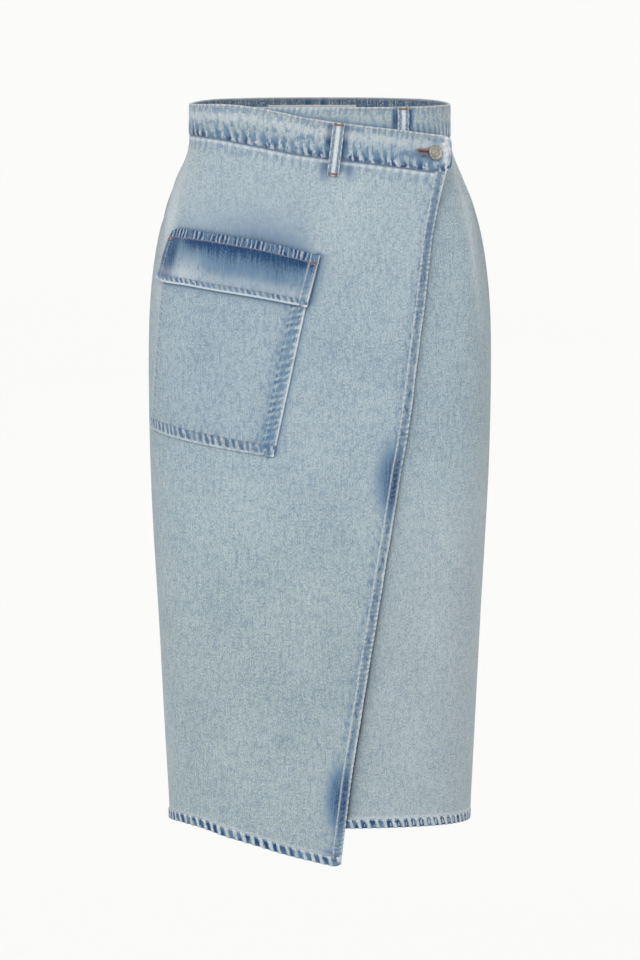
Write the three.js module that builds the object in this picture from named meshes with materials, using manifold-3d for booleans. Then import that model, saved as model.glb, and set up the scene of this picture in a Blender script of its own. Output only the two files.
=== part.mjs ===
// Wrap skirt in washed denim, hollow and open at waist and hem, in the shape it has when worn.
// Millimetres, +Z up, the front faces -Y and the wearer's right is at -X.
// The origin is the middle of the waist opening, halfway up the waistband.
// A place on the cloth is (s, z): s runs round the body from the centre front towards +X, z is the height.

import * as THREE from "three";
import { mergeVertices } from "three/addons/utils/BufferGeometryUtils.js";
import Module from "manifold-3d";

// Outline of the body of the skirt at each height where it turns.
// half: half width, front and back: depth before and behind the side line,
// corner: how square the front is, where 2 is an ellipse.
const SECTIONS = [
  { z: -790, half: 153.8, front: 108, back: 111, corner: 2.4 },
  { z: -730, half: 156.5, front: 110, back: 113, corner: 2.4 },
  { z: -640, half: 161.3, front: 112, back: 117, corner: 2.4 },
  { z: -520, half: 167.2, front: 115, back: 123, corner: 2.4 },
  { z: -400, half: 172.7, front: 117, back: 129, corner: 2.4 },
  { z: -320, half: 175.3, front: 118, back: 134, corner: 2.4 },
  { z: -240, half: 176.0, front: 118, back: 137, corner: 2.45 },
  { z: -180, half: 174.8, front: 116, back: 136, corner: 2.5 },
  { z: -130, half: 169.2, front: 112, back: 131, corner: 2.5 },
  { z: -90, half: 159.4, front: 107, back: 122, corner: 2.6 },
  { z: -60, half: 147.6, front: 102, back: 112, corner: 2.7 },
  { z: -36, half: 137.9, front: 98, back: 104, corner: 2.75 },
  { z: -16, half: 134.4, front: 96, back: 100, corner: 2.8 },
  { z: 18, half: 134.2, front: 95, back: 98, corner: 2.8 },
  { z: 30, half: 134.2, front: 94, back: 97, corner: 2.8 },
];
const BACK_CORNER = 2.3;
const SIDE_SEAM_TURN = 93; // degrees from the centre front, a little behind the side

// Cloth
const CLOTH = 1.4; // one layer of denim
const HEM_FOLD = 1.0; // what a turned edge adds
const HEM_WIDTH = 9.5;
const EDGE_WIDTH = 10.5;
const EDGE_STEP = 1.5; // the width in which the turned edge rises
const BAND_OUT = 1.0; // how far a band's face stands outside its panel
const BAND_IN = 1.8; // and inside
const UNDER_BAND_OUT = 0.8;
const SEAM_GAP = 0.3;
const PATCH_GAP = 0.5; // under a piece sewn on a panel

// How the over front lies on the under front
const WRAP_RISE = 1.9; // a layer and the air beneath it
const WRAP_RISE_LENGTH = 65; // measured from the left side seam
const WAIST_RISE = 1.3; // more over the two bands
const EDGE_STAND = 2.2; // the free edge stands off a little
const EDGE_STAND_LENGTH = 60;
const TAB_START = 89.4; // from here the band runs straight on, off the curve of the body
const TAB_SPREAD = 120; // twice the radius of the body's curve there
const TAB_FADE_TOP = -30;
const TAB_FADE_END = -118;

// Waistband
const BAND_TOP = 18;
const SIDE_DIP = 1.5; // the band sits this much lower over the hips
const SIDE_DIP_LENGTH = 70;
const BAND_BOTTOM = -17;
const TAB_END = 131;
const TAB_CORNER_TOP = 7;
const TAB_CORNER_BOTTOM = 10;
const TAB_ROUND = [11, 7.5, 4.5, 2.2, 0.8, 0]; // columns from the end, through its round corners
const UNDER_BAND_END = -110;

// Edges of the over front's band, which climbs over the left hip and slopes down to its buttoned end.
const OVER_BAND = [
  { s: -205, top: 17, bottom: -15.5 },
  { s: -143, top: 19, bottom: -13.5 },
  { s: -107, top: 20.4, bottom: -15.2 },
  { s: -86, top: 20, bottom: -18.4 },
  { s: -65, top: 17.6, bottom: -22 },
  { s: -41.5, top: 13.4, bottom: -26.6 },
  { s: -21, top: 8.7, bottom: -30.4 },
  { s: 11, top: 3.6, bottom: -34.6 },
  { s: 44, top: -0.8, bottom: -38.6 },
  { s: 81, top: -5.4, bottom: -43.6 },
  { s: 109, top: -9.6, bottom: -47.8 },
  { s: 132, top: -13.6, bottom: -51.6 },
];

// Free edge of the over front, from the band down to the tip.
const WRAP_EDGE = [
  { z: -800, s: 18.5 },
  { z: -759, s: 22.3 },
  { z: -715, s: 27.4 },
  { z: -660, s: 34.5 },
  { z: -399, s: 76.4 },
  { z: -366, s: 81.7 },
  { z: -310, s: 91.5 },
  { z: -127, s: 115.3 },
  { z: -92, s: 121 },
  { z: -70, s: 124.6 },
  { z: -40, s: 128.6 },
];

// Hems
const HEM = -727.5;
const OVER_HEM = [
  { s: -240, z: -727.5 },
  { s: -164, z: -726 },
  { s: -127, z: -730 },
  { s: -98, z: -737.6 },
  { s: -72, z: -744 },
  { s: -35, z: -754.6 },
  { s: -10, z: -760.7 },
  { s: 14, z: -766 },
  { s: 19, z: -765.5 },
  { s: 23, z: -760 },
];

// Hidden edge of the under front
const UNDER_EDGE_TOP = -108;
const UNDER_EDGE_BOTTOM = -50;

// Patch pocket and its flap, leaning with the wrap. across runs from the side to the centre front.
const FLAP = [
  { across: 0, top: -111.5, bottom: -160.5 },
  { across: 0.06, top: -108.8, bottom: -163.6 },
  { across: 0.25, top: -110.2, bottom: -166 },
  { across: 0.45, top: -114.2, bottom: -170.6 },
  { across: 0.65, top: -119.5, bottom: -175.4 },
  { across: 0.82, top: -126, bottom: -180.4 },
  { across: 1, top: -133.4, bottom: -186.2 },
];
const FLAP_LEFT = { top: -163, bottom: -182.5 };
const FLAP_RIGHT = { top: 0.5, bottom: -13.3 };
const FLAP_THICK = 2.2;
const FLAP_STAND = 2.0; // its free side clears the pocket beneath
const POCKET_UNDER_FLAP = 14; // how far below the flap's seam the pocket's mouth is
const POCKET_LEFT = { top: -170, bottom: -204 };
const POCKET_RIGHT = { top: -6, bottom: -47 };
const POCKET_BOTTOM = [
  { across: 0, z: -318 },
  { across: 0.18, z: -322 },
  { across: 0.5, z: -329.7 },
  { across: 0.86, z: -338.2 },
  { across: 1, z: -341 },
];
const POCKET_FULLNESS = 0.8;

// Belt loops
const LOOP_WIDTH = 12;
const LOOP_THICK = 1.3;
const LOOP_LENGTH = 54;
const LOOP_ARCH = 2.6;
const LOOP_STEP = 6; // a loop comes down from its band to the panel within this height
const LOOP_TOP = 17.5;
const LOOP_ROWS = [0, 0.11, 0.2, 0.3, 0.42, 0.54, 0.64, 0.74, 0.84, 0.9, 1];
const OVER_LOOP = { topS: 19.4, bottomS: 13, top: 1.9, lean: 0.11 };
const UNDER_LOOP_S = 86;
const UNDER_LOOP_ARCH = 1.1;
const UNDER_LOOP_LENGTH = 50;
const UNDER_LOOP_RIDE = 2.1; // the over band rides up over this loop
const UNDER_LOOP_RIDE_WIDTH = 28;
const BACK_LOOP_X = -4.4;

// Button and buttonhole
const BUTTON = { s: 117, z: -30, radius: 7.5, cap: 2.7, shankRadius: 2.4, shank: 10, seat: 1.1 };
const HOLE = { eyeRadius: 3.4, slotLength: 17, slotWidth: 2.4, slope: -9, reach: 12 };

// Label inside the back of the band
const LABEL = { width: 94, top: 10, bottom: -12, shift: 8.3, thick: 1.0 };

// Mesh
const TURN_STEP = 2; // degrees round the outline
const ROW_BUNCH = 3; // rows are this much closer at the waist, where the hip curves
const HEM_STEP = 0.002; // share of the length in which a hem's fold rises

const clamp = (value) => Math.min(1, Math.max(0, value));
const ease = (value) => clamp(value) ** 2 * (3 - 2 * clamp(value));
const mix = THREE.MathUtils.lerp;

// Value of one column of a table at a place between its rows, on a smooth curve through them.
function read(rows, key, column, at) {
  let i = rows.findIndex((row) => row[key] > at) - 1;
  if (i < 0) i = at < rows[0][key] ? 0 : rows.length - 2;
  const slope = (j) => {
    const a = rows[Math.max(0, j - 1)];
    const b = rows[Math.min(rows.length - 1, j + 1)];
    return (b[column] - a[column]) / (b[key] - a[key]);
  };
  const from = rows[i];
  const to = rows[i + 1];
  const span = to[key] - from[key];
  const t = clamp((at - from[key]) / span);
  const bend = span * t * (1 - t) * (slope(i) * (1 - t) - slope(i + 1) * t);
  return mix(from[column], to[column], ease(t)) + bend;
}

// Level outline at a height: points, outward directions and the length walked from the centre front.
const outlines = new Map();
function outline(height) {
  const z = Math.round(height * 100) / 100;
  if (outlines.has(z)) return outlines.get(z);
  const row = {};
  for (const column of ["half", "front", "back", "corner"])
    row[column] = read(SECTIONS, "z", column, z);
  const points = [];
  for (let turn = -180; turn <= 180; turn += TURN_STEP) {
    const side = Math.sin(THREE.MathUtils.degToRad(turn));
    const ahead = Math.cos(THREE.MathUtils.degToRad(turn));
    const power = ahead >= 0 ? row.corner : BACK_CORNER;
    const depth = ahead >= 0 ? row.front : row.back;
    const across = Math.sign(side) * Math.abs(side) ** (2 / power);
    const along = -Math.sign(ahead) * Math.abs(ahead) ** (2 / power);
    const out = new THREE.Vector2(
      (Math.sign(across) * Math.abs(across) ** (power - 1)) / row.half,
      (Math.sign(along) * Math.abs(along) ** (power - 1)) / depth,
    ).normalize();
    points.push({ turn, x: row.half * across, y: depth * along, out });
  }
  const walk = (a, b) => Math.hypot(a.x - b.x, a.y - b.y);
  const front = Math.floor(points.length / 2);
  points[front].s = 0;
  for (let i = front + 1; i < points.length; i++)
    points[i].s = points[i - 1].s + walk(points[i], points[i - 1]);
  for (let i = front - 1; i >= 0; i--)
    points[i].s = points[i + 1].s - walk(points[i], points[i + 1]);
  outlines.set(z, points);
  return points;
}

const halfRound = (z) => outline(z).at(-1).s;

// Point of the cloth at (s, z), moved out from the skin of the body.
function skin(s, z, out) {
  const points = outline(z);
  const round = 2 * halfRound(z);
  const place = s - round * Math.round(s / round);
  let low = 0;
  let high = points.length - 1;
  while (high - low > 1) {
    const middle = (low + high) >> 1;
    if (points[middle].s <= place) low = middle;
    else high = middle;
  }
  const a = points[low];
  const b = points[high];
  const t = clamp((place - a.s) / (b.s - a.s));
  const direction = a.out.clone().lerp(b.out, t).normalize();
  return new THREE.Vector3(mix(a.x, b.x, t) + out * direction.x, mix(a.y, b.y, t) + out * direction.y, z);
}

// Length from the centre front to the side seam.
function sideSeam(z) {
  const points = outline(z);
  const i = points.findIndex((point) => point.turn > SIDE_SEAM_TURN);
  const t = (SIDE_SEAM_TURN - points[i - 1].turn) / TURN_STEP;
  return mix(points[i - 1].s, points[i].s, t);
}

const wrapEdge = (z) => read(WRAP_EDGE, "z", "s", z);
const overHem = (s) => read(OVER_HEM, "s", "z", s);
const overBand = (s, column) => read(OVER_BAND, "s", column, s);

// How far the over front's face lies outside the skin.
function wrapRise(s, z) {
  const layers = WRAP_RISE + WAIST_RISE * ease((z + 100) / 60);
  const onto = ease((s + sideSeam(z) - 5) / WRAP_RISE_LENGTH) * layers;
  const off = Math.max(0, s - TAB_START);
  const tab = ((off * off) / TAB_SPREAD) * ease((z - TAB_FADE_END) / (TAB_FADE_TOP - TAB_FADE_END));
  const free = EDGE_STAND * ease(1 - (wrapEdge(z) - s) / EDGE_STAND_LENGTH) * ease((-z - 60) / 80);
  const beside = Math.abs(s - UNDER_LOOP_S) / UNDER_LOOP_RIDE_WIDTH;
  const ride = UNDER_LOOP_RIDE * ease(1 - beside) * ease((z + 100) / 50);
  return onto + tab + free + ride;
}

// Even steps from 0 to 1, closer together at the start where bunch is over 1.
function steps(count, bunch = 1) {
  return Array.from({ length: count + 1 }, (_, i) => {
    const t = i / count;
    return mix(t / bunch, t, t);
  });
}

// Closed wall of cloth: columns run round the body, rows run down, and place gives each point.
function wall(columns, rows, place) {
  const box = new THREE.BoxGeometry(1, 1, 1, columns.length - 1, rows.length - 1, 1);
  box.clearGroups();
  box.deleteAttribute("normal");
  box.deleteAttribute("uv");
  const at = box.attributes.position;
  for (let i = 0; i < at.count; i++) {
    const column = Math.round((at.getX(i) + 0.5) * (columns.length - 1));
    const row = Math.round((0.5 - at.getY(i)) * (rows.length - 1));
    const point = place(columns[column], rows[row], at.getZ(i) > 0);
    at.setXYZ(i, point.x, point.y, point.z);
  }
  return mergeVertices(box, 1e-4);
}

// Steps down a panel that end with a turned hem of its real width.
function panelRows(count, length) {
  const hem = 1 - HEM_WIDTH / length;
  return [...steps(count, ROW_BUNCH).slice(0, -1), hem - HEM_STEP, hem, 1];
}

function backPanel() {
  const length = BAND_BOTTOM - HEM;
  return wall(steps(36), panelRows(15, length), (across, down, outer) => {
    const z = mix(BAND_BOTTOM - SEAM_GAP, HEM, down);
    const from = sideSeam(z) + SEAM_GAP / 2;
    const to = 2 * halfRound(z) - from;
    const fold = length * (1 - down) <= HEM_WIDTH + 0.01 ? HEM_FOLD : 0;
    return skin(mix(from, to, across), z, outer ? 0 : -CLOTH - fold);
  });
}

function underPanel() {
  const length = BAND_BOTTOM - HEM;
  return wall(steps(24), panelRows(14, length), (across, down, outer) => {
    const z = mix(BAND_BOTTOM - SEAM_GAP, HEM, down);
    const from = mix(UNDER_EDGE_TOP, UNDER_EDGE_BOTTOM, down);
    const to = sideSeam(z) - SEAM_GAP / 2;
    const fold = length * (1 - down) <= HEM_WIDTH + 0.01 ? HEM_FOLD : 0;
    return skin(mix(from, to, across), z, outer ? 0 : -CLOTH - fold);
  });
}

function overPanel() {
  const length = BAND_BOTTOM - HEM;
  const columns = [...steps(28), 1 + EDGE_STEP, 1 + EDGE_STEP + EDGE_WIDTH]; // millimetres past 1
  return wall(columns, panelRows(16, length), (across, down, outer) => {
    let s = 0;
    let z = mix(BAND_BOTTOM, HEM, down);
    for (let pass = 0; pass < 6; pass++) {
      s = mix(-sideSeam(z) + SEAM_GAP / 2, wrapEdge(z) - EDGE_WIDTH - EDGE_STEP, Math.min(1, across));
      s += Math.max(0, across - 1);
      z = mix(overBand(s, "bottom") - SEAM_GAP, overHem(s), down);
    }
    const hem = length * (1 - down) <= HEM_WIDTH + 0.01;
    const fold = hem || across > 1 ? HEM_FOLD : 0;
    return skin(s, z, wrapRise(s, z) + (outer ? fold : -CLOTH));
  });
}

// Height of the level band, given the distance from the nearer side seam.
function bandLevel(fromSeam, down) {
  const top = BAND_TOP - SIDE_DIP * ease(1 - fromSeam / SIDE_DIP_LENGTH);
  return mix(top, BAND_BOTTOM, down);
}

function backBand() {
  return wall(steps(34), steps(3), (across, down, outer) => {
    const width = 2 * (halfRound(0) - sideSeam(0));
    const z = bandLevel(width * Math.min(across, 1 - across), down);
    const seam = sideSeam(z) + SEAM_GAP / 2;
    return skin(mix(seam, 2 * halfRound(z) - seam, across), z, outer ? BAND_OUT : -BAND_IN);
  });
}

function underBand() {
  return wall(steps(24), steps(3), (across, down, outer) => {
    const z = bandLevel((sideSeam(0) - UNDER_BAND_END) * (1 - across), down);
    const s = mix(UNDER_BAND_END, sideSeam(z) - SEAM_GAP / 2, across);
    return skin(s, z, outer ? UNDER_BAND_OUT : -BAND_IN);
  });
}

// How much a rounded corner takes off an edge, at a distance from the end.
const cornerCut = (radius, distance) => radius - Math.sqrt(radius ** 2 - Math.max(0, radius - distance) ** 2);

function overBandSolid() {
  const reach = TAB_END + sideSeam(0);
  const columns = steps(30).slice(0, -1).map((t) => t * (1 - TAB_ROUND[0] / reach));
  columns.push(...TAB_ROUND.map((left) => 1 - left / reach));
  return wall(columns, steps(4), (across, down, outer) => {
    let s = 0;
    let z = 0;
    for (let pass = 0; pass < 3; pass++) {
      s = mix(-sideSeam(z) + SEAM_GAP / 2, TAB_END, across);
      const top = overBand(s, "top") - cornerCut(TAB_CORNER_TOP, TAB_END - s);
      const bottom = overBand(s, "bottom") + cornerCut(TAB_CORNER_BOTTOM, TAB_END - s);
      z = mix(top, bottom, down);
    }
    return skin(s, z, wrapRise(s, z) + (outer ? BAND_OUT : -BAND_IN));
  });
}

// Frame of the buttoned end: x along the band, y up it and z out of its face, at the button's centre.
function buttonFrame() {
  const r = BUTTON.radius;
  const at = (s, z) => skin(s, z, wrapRise(s, z) + BAND_OUT);
  const along = at(BUTTON.s + r, BUTTON.z).sub(at(BUTTON.s - r, BUTTON.z)).normalize();
  const up = at(BUTTON.s, BUTTON.z + r).sub(at(BUTTON.s, BUTTON.z - r));
  const out = along.clone().cross(up).normalize();
  along.applyAxisAngle(out, THREE.MathUtils.degToRad(HOLE.slope));
  const frame = new THREE.Matrix4().makeBasis(along, out.clone().cross(along), out);
  return frame.setPosition(at(BUTTON.s, BUTTON.z));
}

function keyhole() {
  const shape = new THREE.Shape();
  const half = HOLE.slotWidth / 2;
  const start = Math.PI - Math.asin(half / HOLE.eyeRadius);
  shape.moveTo(-HOLE.slotLength, half);
  shape.lineTo(HOLE.eyeRadius * Math.cos(start), half);
  shape.absarc(0, 0, HOLE.eyeRadius, start, -start, true);
  shape.lineTo(-HOLE.slotLength, -half);
  shape.absarc(-HOLE.slotLength, 0, half, -Math.PI / 2, Math.PI / 2, true);
  const settings = { depth: 2 * HOLE.reach, bevelEnabled: false, curveSegments: 10 };
  const cutter = new THREE.ExtrudeGeometry(shape, settings);
  return cutter.translate(0, 0, -HOLE.reach).applyMatrix4(buttonFrame());
}

function button() {
  const r = BUTTON.radius;
  const top = BUTTON.seat + BUTTON.cap;
  const profile = [
    [0, -BUTTON.shank],
    [BUTTON.shankRadius, -BUTTON.shank],
    [BUTTON.shankRadius, BUTTON.seat],
    [r - 0.7, BUTTON.seat],
    [r, BUTTON.seat + 0.6],
    [r, top - 1],
    [r - 0.6, top],
    [r - 1.9, top],
    [r - 2.4, top - 0.6],
    [r - 4.6, top - 0.3],
    [0, top],
  ];
  const lathe = new THREE.LatheGeometry(profile.map(([x, y]) => new THREE.Vector2(x, y)), 28);
  return lathe.rotateX(Math.PI / 2).applyMatrix4(buttonFrame());
}

// Down a pocket or flap: s from its two sides, z from its top and bottom edges.
function patchSpot(left, right, across, down, top, bottom) {
  return {
    s: mix(mix(left.top, left.bottom, down), mix(right.top, right.bottom, down), across),
    z: mix(top, bottom, down),
  };
}

const flapEdge = (across, edge) => read(FLAP, "across", edge, across);

function pocket() {
  return wall(steps(16), steps(10), (across, down, outer) => {
    const top = flapEdge(across, "top") - POCKET_UNDER_FLAP;
    const bottom = read(POCKET_BOTTOM, "across", "z", across);
    const { s, z } = patchSpot(POCKET_LEFT, POCKET_RIGHT, across, down, top, bottom);
    const full = POCKET_FULLNESS * ease(4 * across) * ease(4 * (1 - across)) * ease(4 * (1 - down));
    return skin(s, z, wrapRise(s, z) + PATCH_GAP + full * ease(3 * down) + (outer ? CLOTH : 0));
  });
}

function flap() {
  return wall(steps(18), [0, 0.16, 0.26, 0.5, 0.75, 1], (across, down, outer) => {
    const top = flapEdge(across, "top");
    const bottom = flapEdge(across, "bottom");
    const { s, z } = patchSpot(FLAP_LEFT, FLAP_RIGHT, across, down, top, bottom);
    const clear = FLAP_STAND * ease(down / 0.24) + POCKET_FULLNESS * ease(3 * (down - 0.2));
    return skin(s, z, wrapRise(s, z) + PATCH_GAP + clear + (outer ? FLAP_THICK : 0));
  });
}

// Belt loop: a strap sewn down at both ends that arches over the band between them.
// spot gives its place, how far what it lies on stands outside the skin, and its arch.
function beltLoop(spot) {
  return wall([-0.5, 0, 0.5], LOOP_ROWS, (side, down, outer) => {
    const { s, z, on, arch } = spot(side * LOOP_WIDTH, down);
    return skin(s, z, on + PATCH_GAP + arch + (outer ? LOOP_THICK : 0));
  });
}

// 1 on a band and 0 below its lower edge
const onBand = (z, bottom) => ease((z - bottom + LOOP_STEP) / LOOP_STEP);
const fullArch = (down) => LOOP_ARCH * ease((down - 0.11) / 0.16) * ease((0.88 - down) / 0.22);

const overLoop = () => beltLoop((side, down) => {
  const s = mix(OVER_LOOP.topS, OVER_LOOP.bottomS, down) + side;
  const z = OVER_LOOP.top - OVER_LOOP.lean * side - LOOP_LENGTH * down;
  const on = wrapRise(s, z) + BAND_OUT * onBand(z, overBand(s, "bottom"));
  return { s, z, on, arch: fullArch(down) };
});

const underLoop = () => beltLoop((side, down) => {
  const z = LOOP_TOP - UNDER_LOOP_LENGTH * down;
  const arch = UNDER_LOOP_ARCH * ease((down - 0.08) / 0.1) * ease((0.42 - down) / 0.15);
  return { s: UNDER_LOOP_S + side, z, on: UNDER_BAND_OUT * onBand(z, BAND_BOTTOM), arch };
});

const backLoop = () => beltLoop((side, down) => {
  const z = LOOP_TOP - LOOP_LENGTH * down;
  const on = BAND_OUT * onBand(z, BAND_BOTTOM);
  return { s: halfRound(z) - BACK_LOOP_X + side, z, on, arch: fullArch(down) };
});

function label() {
  return wall(steps(10), steps(2), (across, down, outer) => {
    const z = mix(LABEL.top, LABEL.bottom, down);
    const s = halfRound(0) + LABEL.shift + (across - 0.5) * LABEL.width;
    return skin(s, z, -BAND_IN - SEAM_GAP - (outer ? 0 : LABEL.thick));
  });
}

const wasm = await Module();
wasm.setup();

function toSolid(geometry) {
  geometry.deleteAttribute("normal");
  geometry.deleteAttribute("uv");
  const merged = mergeVertices(geometry, 1e-4);
  const mesh = new wasm.Mesh({
    numProp: 3,
    vertProperties: merged.attributes.position.array,
    triVerts: new Uint32Array(merged.index.array),
  });
  return new wasm.Manifold(mesh);
}

function toGeometry(solid) {
  const mesh = solid.getMesh();
  return new THREE.BufferGeometry()
    .setAttribute("position", new THREE.BufferAttribute(mesh.vertProperties, 3))
    .setIndex(new THREE.BufferAttribute(mesh.triVerts, 1));
}

const cutBand = () => toGeometry(toSolid(overBandSolid()).subtract(toSolid(keyhole())));

const denim = (color) => new THREE.MeshStandardMaterial({ color, roughness: 0.92 });
const pewter = new THREE.MeshStandardMaterial({ color: 0xa6a39a, roughness: 0.42, metalness: 0.9 });
const labelCloth = new THREE.MeshStandardMaterial({ color: 0xcdcbc8, roughness: 0.8 });

const skirt = new THREE.Group();
const pieces = [
  ["back_panel", backPanel(), denim(0xa3b5be)],
  ["front_under_panel", underPanel(), denim(0xa3b5be)],
  ["front_over_panel", overPanel(), denim(0xa3b5be)],
  ["waistband_back", backBand(), denim(0x727f8a)],
  ["waistband_under", underBand(), denim(0xa3b5be)],
  ["waistband_over", cutBand(), denim(0xa7b4bd)],
  ["pocket_body", pocket(), denim(0x9cb0bc)],
  ["pocket_flap", flap(), denim(0x7d98b0)],
  ["belt_loop_over", overLoop(), denim(0x9fb0bb)],
  ["belt_loop_under", underLoop(), denim(0x9fb0bb)],
  ["belt_loop_back", backLoop(), denim(0x9fb0bb)],
  ["waist_button", button(), pewter],
  ["waist_label", label(), labelCloth],
];
for (const [name, geometry, material] of pieces) {
  geometry.computeVertexNormals();
  const mesh = new THREE.Mesh(geometry, material);
  mesh.name = name;
  skirt.add(mesh);
}

export default skirt;
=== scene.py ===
"""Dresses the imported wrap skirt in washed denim: cloth with its folds and roped seams, stitches and button.

Sizes inside are millimetres, turned to metres when a mesh is written. +Z is up and the front faces -Y.
A place on the cloth is (s, z): s runs round the body from the centre front towards +X, z is the height.
"""

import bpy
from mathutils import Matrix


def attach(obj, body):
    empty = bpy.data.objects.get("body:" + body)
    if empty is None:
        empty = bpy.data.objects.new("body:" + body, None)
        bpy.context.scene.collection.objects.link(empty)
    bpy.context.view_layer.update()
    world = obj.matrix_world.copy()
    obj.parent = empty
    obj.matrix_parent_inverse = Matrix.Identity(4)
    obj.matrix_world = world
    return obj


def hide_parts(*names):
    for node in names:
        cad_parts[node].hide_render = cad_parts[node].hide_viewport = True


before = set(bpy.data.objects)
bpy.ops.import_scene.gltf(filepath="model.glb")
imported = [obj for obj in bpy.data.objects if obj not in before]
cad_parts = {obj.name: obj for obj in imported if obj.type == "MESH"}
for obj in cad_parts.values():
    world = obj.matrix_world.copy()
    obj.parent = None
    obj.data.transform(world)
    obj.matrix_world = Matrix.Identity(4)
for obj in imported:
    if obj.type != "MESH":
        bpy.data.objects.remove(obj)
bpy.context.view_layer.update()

import math

import bmesh
import bpy
import numpy as np
from mathutils import Color, Matrix, Vector

bl_info = {
    "name": "Washed Denim Wrap Skirt",
    "version": (1, 0, 0),
    "blender": (4, 5, 0),
    "location": "View3D > Sidebar > Skirt",
    "description": "Dresses a hollow wrap skirt in washed denim, with roped seams, stitches and a button",
    "category": "Object",
}

MM = 0.001
BODY = "root"


def table(columns, *rows):
    """Rows of values under named columns."""
    return [dict(zip(columns.split(), row)) for row in rows]


# Outline of the body of the skirt at each height where it turns.
# half: half width, front and back: depth before and behind the side line,
# corner: how square the front is, where 2 is an ellipse.
SECTIONS = table(
    "z half front back corner",
    (-790, 153.8, 108, 111, 2.4),
    (-730, 156.5, 110, 113, 2.4),
    (-640, 161.3, 112, 117, 2.4),
    (-520, 167.2, 115, 123, 2.4),
    (-400, 172.7, 117, 129, 2.4),
    (-320, 175.3, 118, 134, 2.4),
    (-240, 176.0, 118, 137, 2.45),
    (-180, 174.8, 116, 136, 2.5),
    (-130, 169.2, 112, 131, 2.5),
    (-90, 159.4, 107, 122, 2.6),
    (-60, 147.6, 102, 112, 2.7),
    (-36, 137.9, 98, 104, 2.75),
    (-16, 134.4, 96, 100, 2.8),
    (18, 134.2, 95, 98, 2.8),
    (30, 134.2, 94, 97, 2.8),
)
BACK_CORNER = 2.3
SIDE_SEAM_TURN = 93  # degrees from the centre front, a little behind the side

# Cloth
CLOTH = 1.4  # one layer of denim
HEM_WIDTH = 9.5
EDGE_WIDTH = 10.5
BAND_SEAM = 15  # how far down a panel its band's seam shows
STITCH_GAP = 1.4  # from the stitches of a hem to the rubbed line above them
FOLD_OUT = 1.0  # how far a turned edge of the over front stands out
LEVEL_FOLD_OUT = 0.35  # and the hems that are turned inwards
BAND_OUT = 1.0  # how far a band's face stands outside its panel
BAND_THICK = 2.8
UNDER_BAND_THICK = 2.6
UNDER_BAND_OUT = 0.8
PATCH_GAP = 0.5  # under a piece sewn on a panel
TUCK = 5.0  # how far a panel reaches up inside its band
INSET = 0.6  # a panel ends this far inside its turned edge

# How the over front lies on the under front
WRAP_RISE = 1.9
WRAP_RISE_LENGTH = 65
WAIST_RISE = 1.3
EDGE_STAND = 2.2
EDGE_STAND_LENGTH = 60
TAB_START = 89.4
TAB_SPREAD = 120
TAB_FADE_TOP = -30
TAB_FADE_END = -118

# Waistband
BAND_TOP = 18
SIDE_DIP = 1.5
SIDE_DIP_LENGTH = 70
BAND_BOTTOM = -17
BAND_DEPTH = BAND_TOP - BAND_BOTTOM
TAB_END = 131
TAB_CORNER_TOP = 7
TAB_CORNER_BOTTOM = 10
UNDER_BAND_END = -110
OVER_BAND = table(
    "s top bottom",
    (-205, 17, -15.5),
    (-143, 19, -13.5),
    (-107, 20.4, -15.2),
    (-86, 20, -18.4),
    (-65, 17.6, -22),
    (-41.5, 13.4, -26.6),
    (-21, 8.7, -30.4),
    (11, 3.6, -34.6),
    (44, -0.8, -38.6),
    (81, -5.4, -43.6),
    (109, -9.6, -47.8),
    (132, -13.6, -51.6),
)

# Free edge of the over front, from the band down to the tip, and its hem
WRAP_EDGE = table(
    "z s",
    (-800, 18.5),
    (-759, 22.3),
    (-715, 27.4),
    (-660, 34.5),
    (-399, 76.4),
    (-366, 81.7),
    (-310, 91.5),
    (-127, 115.3),
    (-92, 121),
    (-70, 124.6),
    (-40, 128.6),
)
HEM = -727.5
OVER_HEM = table(
    "s z",
    (-240, -727.5),
    (-164, -726),
    (-127, -730),
    (-98, -737.6),
    (-72, -744),
    (-35, -754.6),
    (-10, -760.7),
    (14, -766),
    (19, -765.5),
    (23, -760),
)
UNDER_EDGE_TOP = -108
UNDER_EDGE_BOTTOM = -50

# Patch pocket and its flap. across runs from the side to the centre front.
FLAP = table(
    "across top bottom",
    (0, -111.5, -160.5),
    (0.06, -108.8, -163.6),
    (0.25, -110.2, -166),
    (0.45, -114.2, -170.6),
    (0.65, -119.5, -175.4),
    (0.82, -126, -180.4),
    (1, -133.4, -186.2),
)
FLAP_LEFT = {"top": -163, "bottom": -182.5}
FLAP_RIGHT = {"top": 0.5, "bottom": -13.3}
FLAP_THICK = 2.2
FLAP_STAND = 2.0
POCKET_UNDER_FLAP = 14
POCKET_LEFT = {"top": -170, "bottom": -204}
POCKET_RIGHT = {"top": -6, "bottom": -47}
POCKET_BOTTOM = table(
    "across z",
    (0, -318),
    (0.18, -322),
    (0.5, -329.7),
    (0.86, -338.2),
    (1, -341),
)
POCKET_FULLNESS = 0.8

# Belt loops
LOOP_WIDTH = 12
LOOP_THICK = 1.3
LOOP_LENGTH = 54
LOOP_ARCH = 2.6
LOOP_STEP = 6
LOOP_TOP = 17.5
OVER_LOOP = {"topS": 19.4, "bottomS": 13, "top": 1.9, "lean": 0.11}
UNDER_LOOP_S = 86
UNDER_LOOP_ARCH = 1.1
UNDER_LOOP_LENGTH = 50
UNDER_LOOP_RIDE = 2.1
UNDER_LOOP_RIDE_WIDTH = 28
BACK_LOOP_X = -4.4

# Button and buttonhole
BUTTON = {"s": 117, "z": -30, "radius": 7.5, "cap": 2.7, "shank_radius": 2.4, "shank": 10, "seat": 1.1}
HOLE = {"eye": 3.4, "length": 17, "width": 2.4, "slope": -9}

# Label inside the back of the band
LABEL = {"width": 94, "top": 10, "bottom": -12, "shift": 8.3, "thick": 1.0, "out": -2.1}

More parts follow.
